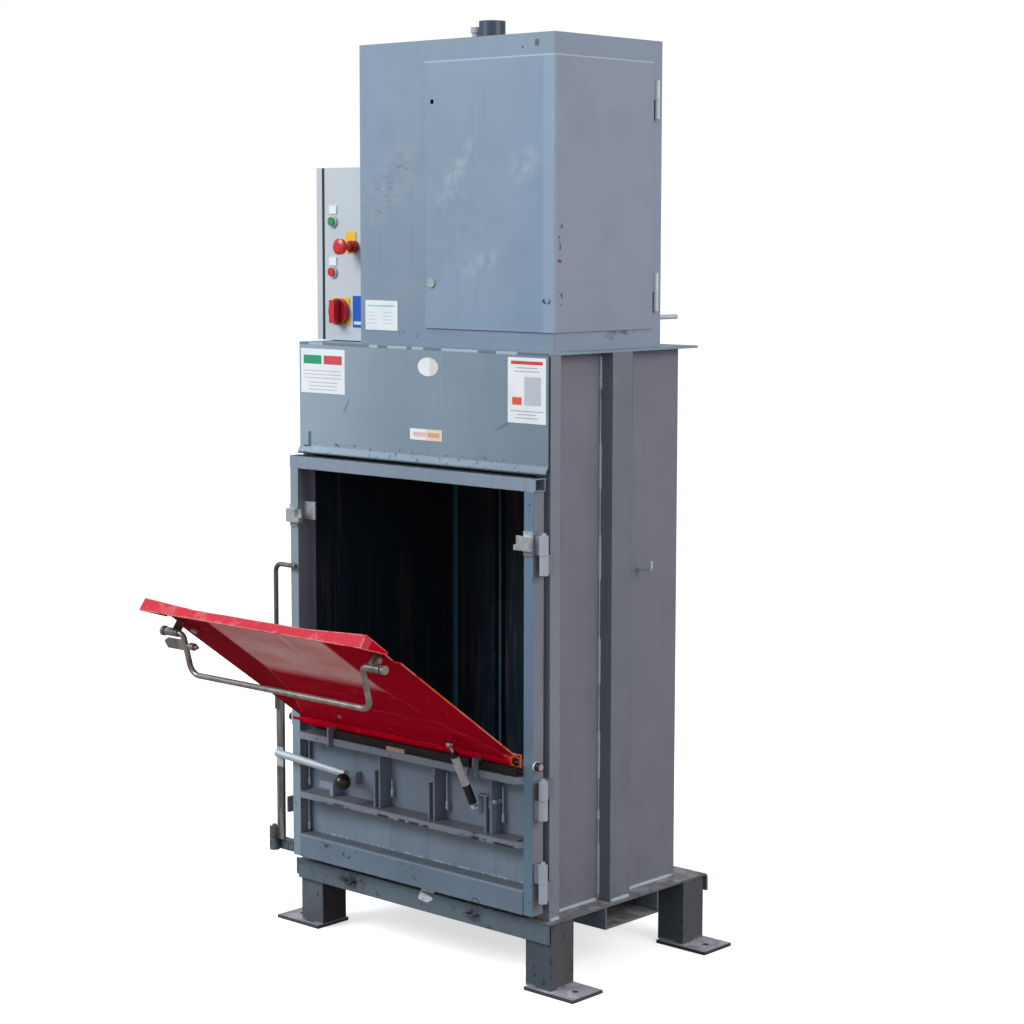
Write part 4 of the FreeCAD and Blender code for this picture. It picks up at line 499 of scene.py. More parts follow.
def leg_marks(g):
    """Greenish scuffed legs with black knocks; the left legs' sides lie in the dark."""
    side = g.faces("X")
    right = g.over("X", *MIDDLE)
    left = g.both(side, g.under("X", 0.0, MIDDLE[1]))
    rub = g.flecks(12, 7, 0.50, 0.62, 0.7, stretch=(1, 1, 0.4), rough=0.7, seed=4)
    chips = g.flecks(30, 7, 0.60, 0.62, rough=0.75, seed=5)
    knocks = g.both(g.ramp(g.edges(0.010), 0.005, 0.06),
                    g.flecks(15, 7, 0.50, 0.53, rough=0.72, seed=8))
    foot = g.both(g.within("Z", 0.006, 0.013, 0.001), g.flecks(30, 5, 0.45, 0.55, seed=3))
    # painted light: the right legs' sides are tinted warmer; painted shade darkens the left legs'
    # sides
    return [(g.both(right, 0.9), (70, 82, 93)), (g.both(side, right), (82, 80, 86)),
            (rub, (70, 74, 74)), (left, (60, 58, 58)), (g.both(chips, 0.9), (38, 36, 36)),
            (g.both(knocks, 0.9), (30, 28, 30)), (g.both(foot, 0.7), (150, 152, 158))]


def foot_marks(g):
    """Worn pale tops with dark rims."""
    top = g.faces("Z")
    edge = g.ramp(g.edges(0.006), *RIM)
    rubbed = g.flecks(22, 7, 0.44, 0.58, rough=0.7, seed=2)
    return [(top, (150, 150, 160)), (g.both(top, rubbed, 0.7), (196, 196, 206)),
            (g.both(edge, 0.9), (46, 40, 40))]


def flap_hip(g, height):
    """How far a point lies outside the hip folds of the pressed face."""
    low = g.both(height, DEPTH_LOW / FOLD_LOW)
    mid = g.math("ADD", DEPTH_LOW, g.both(g.math("SUBTRACT", height, FOLD_LOW),
                                          (DEPTH_HIGH - DEPTH_LOW) / (FOLD_HIGH - FOLD_LOW)))
    deep = g.math("MINIMUM", g.math("MINIMUM", low, mid), DEPTH_HIGH)
    hip = g.math("SUBTRACT", FLAP_HALF, g.both(deep, HIP_SLOPE))
    return g.math("SUBTRACT", g.math("ABSOLUTE", g.axis("X")), hip)


def flap_sheen_field(g):
    """Field high in the middle of the flap, where the pressed sheet mirrors the ground; its rose
    colour is a painted reflection.
    """
    height = g.along(FLAP_PIVOT, FLAP_LEAN)
    inner = g.fall(flap_hip(g, height), -0.006, 0.012)
    cloud = g.ramp(g.noise(4, 4, stretch=(1, 2, 2), seed=2), 0.30, 0.60, 0.6, 1.0)
    return g.both(inner, g.band(height, 0.350, FLANGE_FOLD, 0.030), cloud)


def flap_marks(g):
    """Hip-pressed flap: painted shade on the side and middle fields, a rose painted reflection,
    painted highlights on the flange, folds and a dent, specks, raw edges and a cut cheek.
    """
    height = g.along(FLAP_PIVOT, FLAP_LEAN)
    outside = flap_hip(g, height)
    wide = g.math("ABSOLUTE", g.axis("X"))
    lit_flange = g.ramp(height, FLANGE_FOLD + 0.001, FLANGE_FOLD + 0.006)
    side = g.both(g.ramp(outside, 0.0, 0.006), g.ramp(g.axis("X"), *MIDDLE, 0.75, 0.25))
    middle = g.both(g.band(height, FOLD_LOW, FOLD_HIGH, 0.003),
                    g.fall(outside, 0.0, 0.006, 0.3))
    inner = g.fall(outside, 0.0, 0.003)
    fold_highlight = g.either(g.both(g.band(outside, 0.0, 0.0045),
                             g.band(height, 0.05, FLANGE_FOLD, 0.01)),
                      g.both(inner, g.band(height, FOLD_HIGH - 0.003, FOLD_HIGH + 0.001)),
                      g.both(inner, g.band(height, FOLD_LOW - 0.003, FOLD_LOW)))
    fold_highlight = g.both(fold_highlight, g.ramp(g.noise(12, 4, seed=6), 0.3, 0.6, 0.15, 0.6))
    specks = g.flecks(44, 7, 0.64, 0.66, rough=0.75, seed=5)
    dent_highlight = g.both(g.within("X", 0.040, 0.052, 0.010),
                  g.band(height, 0.46, FLANGE_FOLD - 0.002, 0.02),
                  g.flecks(30, 4, 0.30, 0.55, seed=16))
    smears = g.both(inner, g.flecks(9, 5, 0.56, 0.70, 0.4, stretch=(0.4, 3, 3), seed=26))
    rim = g.both(g.ramp(g.edges(0.004), *RIM), g.flecks(24, 6, 0.36, 0.48, seed=7))
    raw = g.either(g.both(g.within("X", 0.344, 0.375), g.within("Z", 0.540, 0.568),
                          g.ramp(g.edges(0.005), 0.02, 0.10)),
                   g.both(g.ramp(wide, 0.30, 0.31), g.band(height, 0.28, 0.42, 0.02),
                          g.ramp(g.edges(0.003), 0.03, 0.14)))
    inside = g.fall(g.facing_out(FLAP_LEAN), -0.3, -0.2)
    worn = g.both(lit_flange, g.flecks(18, 7, 0.50, 0.62, rough=0.7, seed=21), 0.45)
    # painted shade darkens the side and middle fields; the rose field is a painted reflection; the
    # flange, folds and dent carry painted highlights
    return [(side, (150, 8, 30)), (middle, (150, 6, 28)), (smears, (232, 66, 84)),
            (flap_sheen_field(g), (255, 188, 188)), (lit_flange, (206, 62, 76)), (worn, (224, 136, 136)),
            (fold_highlight, (236, 110, 112)), (g.both(dent_highlight, 0.6), (255, 226, 220)),
            (g.both(specks, 0.7), (222, 130, 90)), (g.both(rim, 0.9), (236, 196, 172)),
            (g.both(inside, 0.5), (120, 20, 32)), (g.both(raw, 0.95), (246, 150, 24))]


def flap_polish(g):
    """Index of refraction: only the field high in the middle mirrors the ground."""
    return g.math("ADD", 1.04, g.both(flap_sheen_field(g), 0.45))


def lock_bar_marks(g):
    """Flat bar with rubbed stripes and a bluish galvanised lever."""
    lever = g.both(g.under("Y", *LEVER_SKIN), g.within("Z", 0.42, 0.47, 0.003))
    stripe = g.flecks(10, 4, 0.48, 0.60, 0.8, stretch=(6, 6, 0.5), seed=3)
    return [(stripe, (150, 146, 140)), (lever, (196, 208, 216))]


def spring_marks(g):
    """Black gas spring tube with a bare pale band where its print was, chrome foot end."""
    up = g.along(SPRING_FOOT, SPRING_LEAN)
    bare = g.band(up, 0.069, 0.150, 0.0006)
    streak = g.flecks(60, 4, 0.42, 0.6, 0.45, seed=3)
    return [(bare, (190, 192, 198)), (g.both(bare, streak), (136, 132, 140)),
            (g.fall(up, 0.014, 0.016), (190, 192, 194))]


def fitting_marks(g):
    """The stud plate is painted with the flap."""
    return [(g.within("X", *STUD_PLATE, 0.0003), (190, 10, 40))]


def bolt_marks(g):
    """White washer, dark ring and pinkish head of the pivot bolts; painted shade on the bolt
    inside the tube.
    """
    far = g.beside("Y", "Z", FLAP_PIVOT)
    out = g.ramp(g.math("ABSOLUTE", g.axis("X")), FLAP_HALF - 0.001, FLAP_HALF + 0.001)
    near = g.fall(far, *BOLT_WASHER)
    # painted shade: the bolt inside the tube is painted near black
    return [(g.both(near, out), (222, 224, 230)),
            (g.both(near, g.fall(far, *BOLT_RING), out), (44, 40, 42)),
            (g.both(near, g.fall(far, *BOLT_HEAD), out), (196, 172, 172)),
            (g.both(near, g.math("SUBTRACT", 1.0, out)), (30, 22, 20))]


def cap_marks(g):
    """Pale breather fitting beside the dark cap."""
    return [(g.under("X", -0.0352, -0.0348), (164, 172, 178))]


def wire_marks(g):
    """Guard on the hood is painted; the stub and hook on the right are pale zinc."""
    return [(g.both(g.within("Z", 1.20, 1.45), g.under("Y", -0.29, -0.28)), (156, 172, 188)),
            (g.over("X", 0.37, 0.375), (196, 204, 210)),
            (g.under("X", -0.44, -0.43), (112, 108, 110))]


def bezel_marks(g):
    """Dark red neck under the stop button, between pale bezels."""
    return [(g.within("Z", 1.715, 1.775), (150, 20, 34))]


def switch_marks(g):
    """Dark red disc with a brighter rim behind a bright grip."""
    disc = g.over("Y", *SWITCH_DISC)
    return [(disc, (142, 14, 34)),
            (g.both(g.ramp(g.beside("X", "Z", SWITCH_SPOT), *SWITCH_RIM), disc),
             (186, 34, 50))]


def hinge_marks(g):
    """Pale turned barrels, their bare metal brightened by a painted highlight, on duller arms and
    leaves.
    """
    # partly painted highlight: the barrels are painted paler than the arms
    return [(g.fall(g.beside("X", "Y", DOOR_HINGE), *DOOR_BARREL), (166, 173, 184))]


def enclosure_marks(g):
    """Dark shadow gap beside the side-hung door, specks on the front."""
    front = g.under("Y", *ENCLOSURE_SKIN)
    gap = g.both(g.within("X", -0.4297, -0.4215, 0.0003), front)
    speck = g.both(front, g.flecks(48, 6, 0.66, 0.68, rough=0.75, seed=41), 0.6)
    return [(gap, (34, 44, 50)), (speck, (120, 126, 128))]


def bar_marks(g):
    """Top of the door's upper bar lies in the dark gap under the hood."""
    return [(g.both(g.faces("Z"), g.over("Z", 1.217, 1.219)), (24, 28, 34))]


def column_marks(g):
    """Small chips and a dark drawn line beside the seam."""
    chips = g.flecks(31, 6, 0.675, 0.69, rough=0.75, seed=9)
    line = g.both(g.within("Y", 0.0105, 0.0135, 0.0012),
                  g.flecks(12, 4, 0.50, 0.60, 0.5, stretch=(1, 1, 0.4), seed=4))
    return [(g.both(chips, 0.8), (64, 62, 66)), (line, (70, 66, 68))]


def data_plate_print(g):
    """Bare plates; the wide one keeps a few pale rules."""
    rules = g.either(*[g.block(x, z, x + 0.030, z + 0.0016)
                       for x in (-0.228, -0.170) for z in (1.556, 1.565, 1.574, 1.583)])
    head = g.block(-0.226, 1.598, -0.130, 1.6015)
    return [(g.both(head, 0.8), (110, 190, 176)), (g.both(rules, 0.6), (150, 156, 160))]


def blue_plate_print(g):
    """Blue field with one pale strip along its foot."""
    return [(g.block(-0.315, 1.549, -0.266, 1.557), (206, 222, 240))]


# ---- what each CAD piece wears
BODY_DIRT = (0.17, 0.5, 0.3, (92, 90, 90))  # from z, to z, amount, tint
ZINC = ((206, 212, 216), (158, 166, 170), 0.32)
LABEL = ((236, 240, 242), (222, 227, 231), 0.5, 18, 0.03)

LOOKS = (
    ("cabinet_shell",
     paint("cabinet_paint", (132, 150, 169), (122, 138, 156), 0.40, chips=0.3, streaks=0.12,
           scuffs=0.12, extras=cabinet_marks, seed=3)),
    ("cabinet_door",
     paint("cabinet_door_paint", (133, 154, 175), (124, 143, 162), 0.40, chips=0.25,
           streaks=0.10, scuffs=0.10, extras=cabinet_door_marks, seed=7)),
    ("enclosure_body enclosure_door",
     paint("enclosure_paint", (194, 202, 209), (182, 188, 194), 0.45, chips=0.2, streaks=0.08,
           blotch=0.4, scuffs=0.05, chip=(120, 122, 120), extras=enclosure_marks, seed=11)),
    ("hood top_plate",
     paint("hood_paint", (134, 152, 168), (124, 141, 156), 0.40, chips=0.5, streaks=0.22,
           blotch=0.6, scuffs=0.12, extras=hood_marks, seed=13)),
    ("side_walls",
     paint("side_paint", (121, 122, 135), (110, 111, 121), 0.44, streaks=0.15, scuffs=0.10,
           extras=chamber_inside, dirt=BODY_DIRT, seed=17)),
    ("side_columns",
     paint("column_paint", (118, 120, 131), (104, 106, 115), chips=0.6, streaks=0.22,
           scuffs=0.15, extras=column_marks, dirt=(0.17, 0.5, 0.3, (88, 86, 86)), seed=19)),
    ("corner_posts",
     paint("post_paint", (129, 132, 145), (116, 118, 129), chips=0.6, streaks=0.2, scuffs=0.15,
           dirt=BODY_DIRT, seed=58)),
    ("back_wall",
     paint("back_paint", (118, 121, 131), (98, 101, 110), chips=0.3, extras=chamber_inside,
           seed=23)),
    ("strap_guides platen",
     paint("guide_paint", (26, 36, 42), (14, 20, 25), 0.34, chips=0.8, chip=(88, 104, 110),
           streaks=0.4, seed=29)),
    ("door_top_bar door_brackets lock_keeper",
     paint("door_paint", (136, 152, 169), (120, 133, 148), chips=0.8, scuffs=0.15,
           extras=bar_marks, seed=31)),
    ("door_uprights",
     paint("upright_paint", (124, 128, 139), (108, 112, 122), chips=0.75, scuffs=0.12,
           extras=upright_marks, dirt=(0.18, 0.5, 0.3, (92, 88, 84)), seed=32)),
    ("door_rails door_ribs",
     paint("rail_paint", (130, 139, 153), (112, 120, 132), chips=0.9, streaks=0.3, blotch=0.6,
           scuffs=0.15, extras=rail_marks, seed=33)),
    ("door_panel",
     paint("panel_paint", (132, 146, 163), (116, 130, 146), streaks=0.3, blotch=0.6,
           extras=panel_marks, dirt=(0.18, 0.4, 0.3, (92, 90, 88)), seed=37)),
    ("door_sill",
     paint("sill_paint", (113, 130, 150), (98, 113, 130), chips=0.5, streaks=0.3, blotch=0.6,
           extras=sill_marks, seed=38)),
    ("door_hinge_leaves door_hinge_bases",
     paint("hinge_paint", (118, 124, 135), (100, 105, 115), 0.4, chips=0.8, streaks=0.2,
           scuffs=0.3, extras=hinge_marks, seed=60)),
    ("base_plate fork_channel",
     paint("base_paint", (106, 121, 137), (86, 98, 108), 0.46, chips=1.0, chip=(40, 39, 38),
           streaks=0.3, blotch=0.7, extras=base_marks, wear=0.007,
           dirt=(0.0, 0.2, 0.4, (66, 64, 60)), seed=41)),
    ("legs",
     paint("leg_paint", (96, 107, 116), (80, 88, 92), 0.48, chips=1.0, chip=(40, 39, 38),
           streaks=0.4, blotch=0.8, scuffs=0.2, extras=leg_marks, wear=0.007,
           dirt=(0.0, 0.1, 0.5, (66, 62, 58)), seed=42)),
    ("foot_plates",
     paint("feet_paint", (84, 84, 90), (60, 58, 62), 0.5, chips=1.0, chip=(44, 38, 34),
           streaks=0.1, blotch=0.8, scuffs=0.3, extras=foot_marks, seed=43)),
    ("flap_panel flap_pivot_tube",
     paint("flap_paint", (214, 8, 44), (182, 6, 32), 0.5, chip=(214, 120, 88), streaks=0.1,
           blotch=0.4, scuffs=0.03, extras=flap_marks, seed=47, polish=flap_polish)),
    ("cylinder_barrel oil_tank",
     paint("black_paint", (30, 33, 39), (18, 20, 24), 0.4, chips=0.4, chip=(88, 84, 86),
           streaks=0.1, scuffs=0.1, seed=53)),
    ("cylinder_cap",
     paint("cap_paint", (60, 72, 90), (44, 52, 66), 0.4, chips=0.6, chip=(120, 96, 104),
           streaks=0.2, scuffs=0.2, extras=cap_marks, seed=54)),
    ("pump_motor",
     paint("motor_paint", (48, 70, 98), (38, 56, 80), 0.4, chips=0.3, seed=59)),
    ("flap_fittings",
     metal("fitting_zinc", *ZINC, 0.45, rust=0.12, extras=fitting_marks, seed=64)),
    ("door_bolts",
     metal("bolt_zinc", *ZINC, 0.35, rust=0.12, extras=bolt_marks, seed=65)),
    ("door_catches cabinet_lock enclosure_lock valve_block",
     metal("zinc", *ZINC, 0.45, rust=0.12, seed=61)),
    ("flap_latches",
     metal("latch_zinc", (168, 162, 160), (112, 104, 104), 0.36, 0.75, rust=0.4,
           rust_tint=(96, 40, 38), seed=62)),
    ("wire_guide rods_and_loops",
     metal("wire", (84, 86, 88), (54, 54, 56), 0.45, 0.3, rust=0.3, extras=wire_marks,
           seed=63)),
    ("flap_handle",
     metal("bar_steel", (176, 170, 164), (134, 128, 126), 0.36, 0.75, rust=0.35,
           grain=(1, 6, 6), seed=67)),
    ("lock_bar",
     metal("lock_steel", (116, 112, 110), (84, 84, 86), 0.46, 0.5, rust=0.5,
           rust_tint=(70, 56, 46), extras=lock_bar_marks, seed=71)),
    ("lock_bracket",
     metal("bracket_steel", (124, 140, 152), (74, 84, 92), 0.4, 0.5, rust=0.4,
           rust_tint=(58, 54, 52), seed=72)),
    ("ram_rod gas_spring_rod",
     metal("chrome_rod", (206, 207, 208), (186, 187, 188), 0.16, 0.95, seed=73)),
    ("button_bezels",
     plain("bezel_metal", (202, 206, 210), (168, 174, 180), 0.3, 30, 0.05,
           extras=bezel_marks, seed=66)),
    ("rubber_strip enclosure_seal",
     plain("rubber", (11, 11, 12), (20, 20, 20), 0.7, 60, 0.3, seed=79)),
    ("hoses",
     plain("hose_rubber", (22, 22, 23), (34, 34, 34), 0.55, 80, 0.3, seed=83)),
    ("lever_knob",
     plain("black_plastic", (18, 18, 19), (34, 34, 35), 0.28, 40, 0.06, 0.3, seed=89)),
    ("gas_spring_tube",
     plain("spring_tube", (20, 20, 21), (30, 30, 31), 0.3, 40, 0.05, extras=spring_marks,
           seed=91)),
    ("yellow_plates",
     plain("yellow_plastic", (238, 190, 30), (224, 172, 22), 0.45, 30, seed=97)),
    ("stop_head red_button",
     plain("red_plastic", (206, 36, 44), (184, 24, 32), 0.32, 30, 0.05, 0.4, seed=101)),
    ("main_switch",
     plain("switch_plastic", (204, 40, 52), (184, 28, 40), 0.32, 30, 0.05, 0.4,
           extras=switch_marks, seed=102)),
    ("green_button",
     plain("green_plastic", (34, 150, 84), (24, 128, 70), 0.32, 30, 0.05, 0.3, seed=103)),
    ("blue_plate",
     plain("blue_plate", (20, 88, 190), (16, 76, 168), 0.4, 30, 0.05,
           extras=blue_plate_print, seed=107)),
    ("stop_block",
     plain("tan_block", (190, 160, 132), (150, 120, 96), 0.6, 90, 0.2, seed=109)),
    ("label_plates",
     plain("white_plate", (232, 236, 238), (216, 222, 226), 0.45, 14, 0.04, amount=0.6,
           extras=data_plate_print, seed=113)),
)
for names, look in LOOKS:
    for name in names.split():
        data = NODES[name].data
        data.materials.clear()
        data.materials.append(look)


# ---- mesh helpers
def add_piece(name, mesh, material, body):
    """Puts a mesh into the scene, on the CAD body that carries it."""
    obj = bpy.data.objects.new(name, mesh)
    bpy.context.scene.collection.objects.link(obj)
    mesh.materials.append(material)
    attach(obj, body)


def mesh_from(name, verts, faces):
    mesh = bpy.data.meshes.new(name)
    mesh.from_pydata([tuple(v) for v in verts], [], faces)
    mesh.update()
    return mesh


def skin(sections, ring):
    """Faces of a closed bar made of sections with ring points each."""
    faces = []
    for i in range(sections - 1):
        for k in range(ring):
            a = i * ring + k
            b = i * ring + (k + 1) % ring
            faces.append((a, b, b + ring, a + ring))
    last = (sections - 1) * ring
    return faces + [tuple(reversed(range(ring))), tuple(range(last, last + ring))]


# ---- welds
PALE_WELD = paint("pale_weld", (186, 196, 206), (150, 158, 168), 0.35, chips=0.3, seed=153)
BEAD_RING = 7  # points around a bead
BEAD_SWELL = 0.16  # ripple, as a share of the radius
BEAD_JITTER = 0.12  # random share of the radius
BEAD_TIP = 0.35  # radius at the very ends, as a share
BEAD_TAPER = 6.0  # how fast the ends swell to full size


def weld(name, start, end, radius, body, seed, pitch=0.0035):
    """Rippled weld bead from start to end."""
    random.seed(seed)
    start = Vector(start)
    end = Vector(end)
    along = (end - start).normalized()
    side = along.orthogonal().normalized()
    other = along.cross(side)
    length = (end - start).length
    steps = max(4, int(length / (pitch / 2)))
    verts = []
    for i in range(steps + 1):
        t = i / steps
        swell = 1.0 + BEAD_SWELL * math.sin(2 * math.pi * length * t / pitch)
        swell *= 1.0 + random.uniform(-BEAD_JITTER, BEAD_JITTER)
        taper = min(1.0, BEAD_TAPER * t + BEAD_TIP, BEAD_TAPER * (1 - t) + BEAD_TIP)
        centre = start + along * (length * t)
        for k in range(BEAD_RING):
            angle = 2 * math.pi * k / BEAD_RING
            reach = radius * swell * taper
            verts.append(centre + side * (math.cos(angle) * reach)
                         + other * (math.sin(angle) * reach))
    mesh = mesh_from(name, verts, skin(steps + 1, BEAD_RING))
    mesh.shade_smooth()
    add_piece(name, mesh, PALE_WELD, body)


SEAM_X, SEAM_Y = 0.3835, -0.0635  # joint of the right wall and its column
COLUMN_X = 0.4205  # outer foot of the column
DECK_Z = 0.1755  # just over the base plate
SEAM_FOOT, SEAM_TOP = 0.176, 1.498
SEAM_BEAD, SEAM_THIN, BASE_BEAD = 0.0042, 0.0020, 0.005  # radii
for number, (low, high) in enumerate(((1.408, 1.495), (1.167, 1.291), (0.948, 1.071),
                                      (0.693, 0.822), (0.463, 0.595), (0.369, 0.396),
                                      (SEAM_FOOT, 0.320))):
    weld("seam_weld_%d" % number, (SEAM_X, SEAM_Y, low), (SEAM_X, SEAM_Y, high), SEAM_BEAD,
         "frame", seed=number)
weld("seam_line", (SEAM_X, SEAM_Y, SEAM_FOOT), (SEAM_X, SEAM_Y, SEAM_TOP), SEAM_THIN, "frame",
     seed=8, pitch=0.030)
for number, (x, front, back) in enumerate(((SEAM_X, 0.013, 0.225), (SEAM_X, -0.240, -0.066),
                                           (COLUMN_X, -0.060, 0.010),
                                           (COLUMN_X, -0.280, -0.248))):
    weld("base_weld_%d" % number, (x, front, DECK_Z), (x, back, DECK_Z), BASE_BEAD, "frame",
         seed=20 + number)


# ---- bare labels
HOOD_FACE = -0.292
LABEL_THICK = 0.0006
LABEL_ROUND = 0.0002
RULE = 0.0022  # height of a rule
TALL_LEFT, TALL_RIGHT = 0.296, 0.415


def square_fields(g):
    """White label with a green and a red band and pale grey rules."""
    rules = [g.block(-0.402, z, -0.266, z + RULE) for z in (1.434, 1.425, 1.416)]
    short = [g.block(-0.385, z, -0.283, z + RULE) for z in (1.405, 1.396, 1.387)]
    return [(g.block(-0.404, 1.452, -0.338, 1.474), (38, 158, 112)),
            (g.block(-0.330, 1.452, -0.264, 1.474), (214, 74, 86)),
            (g.both(g.either(*rules, *short), 0.55), (112, 118, 128))]


def tall_fields(g):
    """White label with a red band, a grey field, an orange square and grey rules."""
    rules = [g.block(x, z, TALL_LEFT + TALL_RIGHT - x, z + RULE)
             for x, z in ((0.322, 1.469), (0.316, 1.461), (0.304, 1.369), (0.326, 1.361),
                          (0.320, 1.353))]
    return [(g.block(0.306, 1.478, 0.405, 1.486), (214, 58, 62)),
            (g.both(g.either(*rules), 0.6), (84, 90, 108)),
            (g.block(0.348, 1.384, 0.400, 1.450), (188, 196, 204)),
            (g.block(0.310, 1.384, 0.340, 1.402), (232, 88, 44))]


def cream_fields(g):
    """Cream label, browner on the right, with two faded reddish bars."""
    return [(g.both(g.over("X", 0.025, 0.030), 0.55), (232, 196, 148)),
            (g.both(g.block(-0.014, 1.291, 0.028, 1.302), 0.55), (226, 130, 122)),
            (g.both(g.block(0.034, 1.291, 0.074, 1.302), 0.6), (214, 104, 68))]


def disc_fields(g):
    """White oval label, browned on the right."""
    return [(g.both(g.over("X", 0.036, 0.044), 0.55), (204, 196, 176))]


def label(name, low, high, fields, seed):
    """Thin rounded plate on the hood between two corners in x and z."""
    size = (high[0] - low[0], LABEL_THICK, high[1] - low[1])
    centre = ((high[0] + low[0]) / 2, HOOD_FACE - LABEL_THICK / 2, (high[1] + low[1]) / 2)
    bm = bmesh.new()
    bmesh.ops.create_cube(bm, size=1.0)
    bmesh.ops.scale(bm, vec=size, verts=bm.verts)
    bmesh.ops.translate(bm, vec=centre, verts=bm.verts)
    bmesh.ops.bevel(bm, geom=bm.edges[:], offset=LABEL_ROUND, segments=2, affect="EDGES",
                    profile=0.5)
    mesh = bpy.data.meshes.new(name)
    bm.to_mesh(mesh)
    bm.free()
    add_piece(name, mesh, plain(name, *LABEL, extras=fields, seed=seed), "frame")


def oval_label(name, x, z, half_x, half_z, fields, seed, count=40):
    """Oval sticker on the hood with a slightly lifted rim."""
    verts = [(x, HOOD_FACE - 0.0005, z)]
    for reach, lift in ((0.9, 0.0005), (1.0, 0.0007), (1.0, 0.0)):
        for k in range(count):
            angle = 2 * math.pi * k / count
            verts.append((x + reach * half_x * math.cos(angle), HOOD_FACE - lift,
                          z + reach * half_z * math.sin(angle)))
    faces = []
    for k in range(count):
        after = (k + 1) % count
        faces.append((0, 1 + k, 1 + after))
        for a in (1, 1 + count):
            faces.append((a + k, a + count + k, a + count + after, a + after))
    add_piece(name, mesh_from(name, verts, faces), plain(name, *LABEL, extras=fields, seed=seed),
              "frame")


label("hood_label", (-0.414, 1.379), (-0.254, 1.490), square_fields, seed=137)
label("hood_label_tall", (TALL_LEFT, 1.342), (TALL_RIGHT, 1.494), tall_fields, seed=138)
label("hood_label_cream", (-0.026, 1.283), (0.082, 1.310), cream_fields, seed=139)
oval_label("hood_label_oval", 0.036, 1.460, 0.0345, 0.0225, disc_fields, seed=151)


# ---- drips and tape
DRIP_Y = -0.3065  # on the front of the door's ribs and rails
DRIP_LEAN = 0.001
DRIP_THIN, DRIP_FAT = 0.0022, 0.0042  # radii of the run and of the drop at its end
DRIP_START, DROP_TALL = 0.012, 0.026  # up from the lowest point
for number, (x, high, low) in enumerate(((-0.381, 0.500, 0.374), (-0.383, 0.345, 0.256),
                                         (-0.079, 0.440, 0.392), (0.110, 0.488, 0.392),
                                         (0.295, 0.484, 0.392))):
    foot = x + DRIP_LEAN
    weld("drip_%d" % number, (foot, DRIP_Y, low + DRIP_START), (x, DRIP_Y, high), DRIP_THIN,
         "bale_door", seed=40 + number, pitch=0.012)
    weld("drip_end_%d" % number, (foot, DRIP_Y, low), (foot, DRIP_Y, low + DROP_TALL), DRIP_FAT,
         "bale_door", seed=50 + number, pitch=0.02)


def scrap(name, sections, thick, material):
    """Curled scrap of tape: a bent strip through pairs of left and right points."""
    verts = []
    for left, right in sections:
        verts += [left, right, (right[0], right[1] + thick, right[2]),
                  (left[0], left[1] + thick, left[2])]
    add_piece(name, mesh_from(name, verts, skin(len(sections), 4)), material, "frame")


scrap("tape_scrap", [((0.016, -0.2945, 0.186), (0.058, -0.2945, 0.182)),
                     ((0.012, -0.2990, 0.172), (0.055, -0.2980, 0.168)),
                     ((0.008, -0.3020, 0.160), (0.052, -0.3000, 0.156)),
                     ((0.006, -0.3015, 0.152), (0.034, -0.2990, 0.147))],
      0.0005, plain("tape_scrap", (230, 232, 236), (206, 208, 214), 0.6, 40, 0.1, seed=157))


# ---- floor, light and camera
WHITE = (1.0, 1.0, 1.0, 1.0)
FLOOR_GREY = (0.9, 0.9, 0.9, 1.0)
PAVING = (0.30, 0.28, 0.26, 1.0)
SKY, SKY_POWER = (0.90, 0.95, 1.0, 1.0), 0.55
FLOOR_HALF = 60.0
FLOOR_GLOW = 0.62  # lifts the floor to white and leaves the object's shadow on it


def camera_sees(tree, shown, hidden, output):
    """Shows one shader to the camera and the other to all other light."""
    path = tree.nodes.new("ShaderNodeLightPath")
    blend = tree.nodes.new("ShaderNodeMixShader")
    tree.links.new(path.outputs["Is Camera Ray"], blend.inputs[0])
    tree.links.new(hidden.outputs[0], blend.inputs[1])
    tree.links.new(shown.outputs[0], blend.inputs[2])
    tree.links.new(blend.outputs[0], tree.nodes[output].inputs["Surface"])


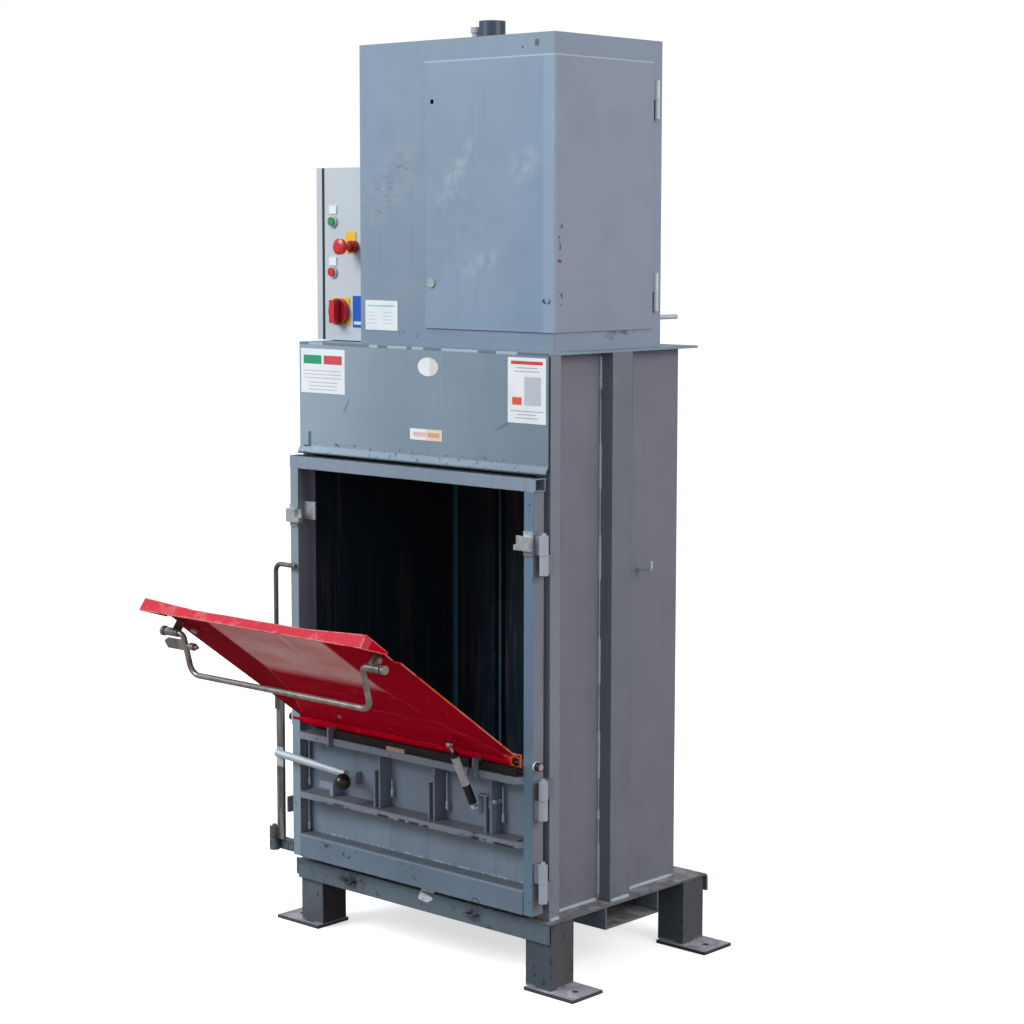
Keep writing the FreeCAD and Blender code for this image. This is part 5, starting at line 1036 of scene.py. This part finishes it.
def floor():
    """White ground to the camera, with the object's shadow; dull paving to all other light."""
    mesh = mesh_from("floor", [(x, y, 0.0) for y in (-FLOOR_HALF, FLOOR_HALF)
                               for x in (-FLOOR_HALF, FLOOR_HALF)], [(0, 1, 3, 2)])
    obj = bpy.data.objects.new("floor", mesh)
    bpy.context.scene.collection.objects.link(obj)
    material = bpy.data.materials.new("floor_pale")
    material.use_nodes = True
    tree = material.node_tree
    shader = tree.nodes["Principled BSDF"]
    for name, value in (("Base Color", FLOOR_GREY), ("Roughness", 1.0),
                        ("Specular IOR Level", 0.0), ("Emission Color", WHITE),
                        ("Emission Strength", FLOOR_GLOW)):
        shader.inputs[name].default_value = value
    paving = tree.nodes.new("ShaderNodeBsdfDiffuse")
    paving.inputs["Color"].default_value = PAVING
    camera_sees(tree, shader, paving, "Material Output")
    mesh.materials.append(material)


def sky():
    """White to the camera, pale blue to all other light."""
    world = bpy.data.worlds.new("studio")
    bpy.context.scene.world = world
    world.use_nodes = True
    back = world.node_tree.nodes["Background"]
    white = world.node_tree.nodes.new("ShaderNodeBackground")
    for node, colour, strength in ((back, SKY, SKY_POWER), (white, WHITE, 1.0)):
        node.inputs["Color"].default_value = colour
        node.inputs["Strength"].default_value = strength
    camera_sees(world.node_tree, white, back, "World Output")


LIGHT_SIZE = 3.0


def area_light(name, place, target, power, colour):
    """Square lamp that looks from place to target."""
    data = bpy.data.lights.new(name, "AREA")
    data.shape = "RECTANGLE"
    data.size = data.size_y = LIGHT_SIZE
    data.energy = power
    data.color = colour
    obj = bpy.data.objects.new(name, data)
    obj.location = place
    obj.rotation_euler = (Vector(target) - Vector(place)).to_track_quat("-Z", "Y").to_euler()
    bpy.context.scene.collection.objects.link(obj)


def camera(place, turn, lens, shift):
    """The photograph's camera, solved from the sizes of the CAD."""
    data = bpy.data.cameras.new("camera")
    data.sensor_width = 36.0
    data.lens = lens
    data.shift_x, data.shift_y = shift
    data.clip_end = 100
    obj = bpy.data.objects.new("camera", data)
    obj.location = place
    obj.rotation_euler = turn
    bpy.context.scene.collection.objects.link(obj)
    bpy.context.scene.camera = obj


floor()
area_light("key", (-2.2, -5.0, 4.6), (0, 0, 1.1), power=297, colour=(0.93, 0.97, 1.0))
area_light("side", (5.2, 0.4, 3.2), (0, 0, 1.0), power=138, colour=(1.0, 0.98, 0.95))
sky()
camera(place=(3.9491078, -4.2388851, 1.7776843),
       turn=(math.radians(83.7912694), -0.0028794, math.radians(41.8800167)),
       lens=81.61835, shift=(-0.0322583, -0.0251401))
bpy.context.scene.view_settings.view_transform = "Standard"
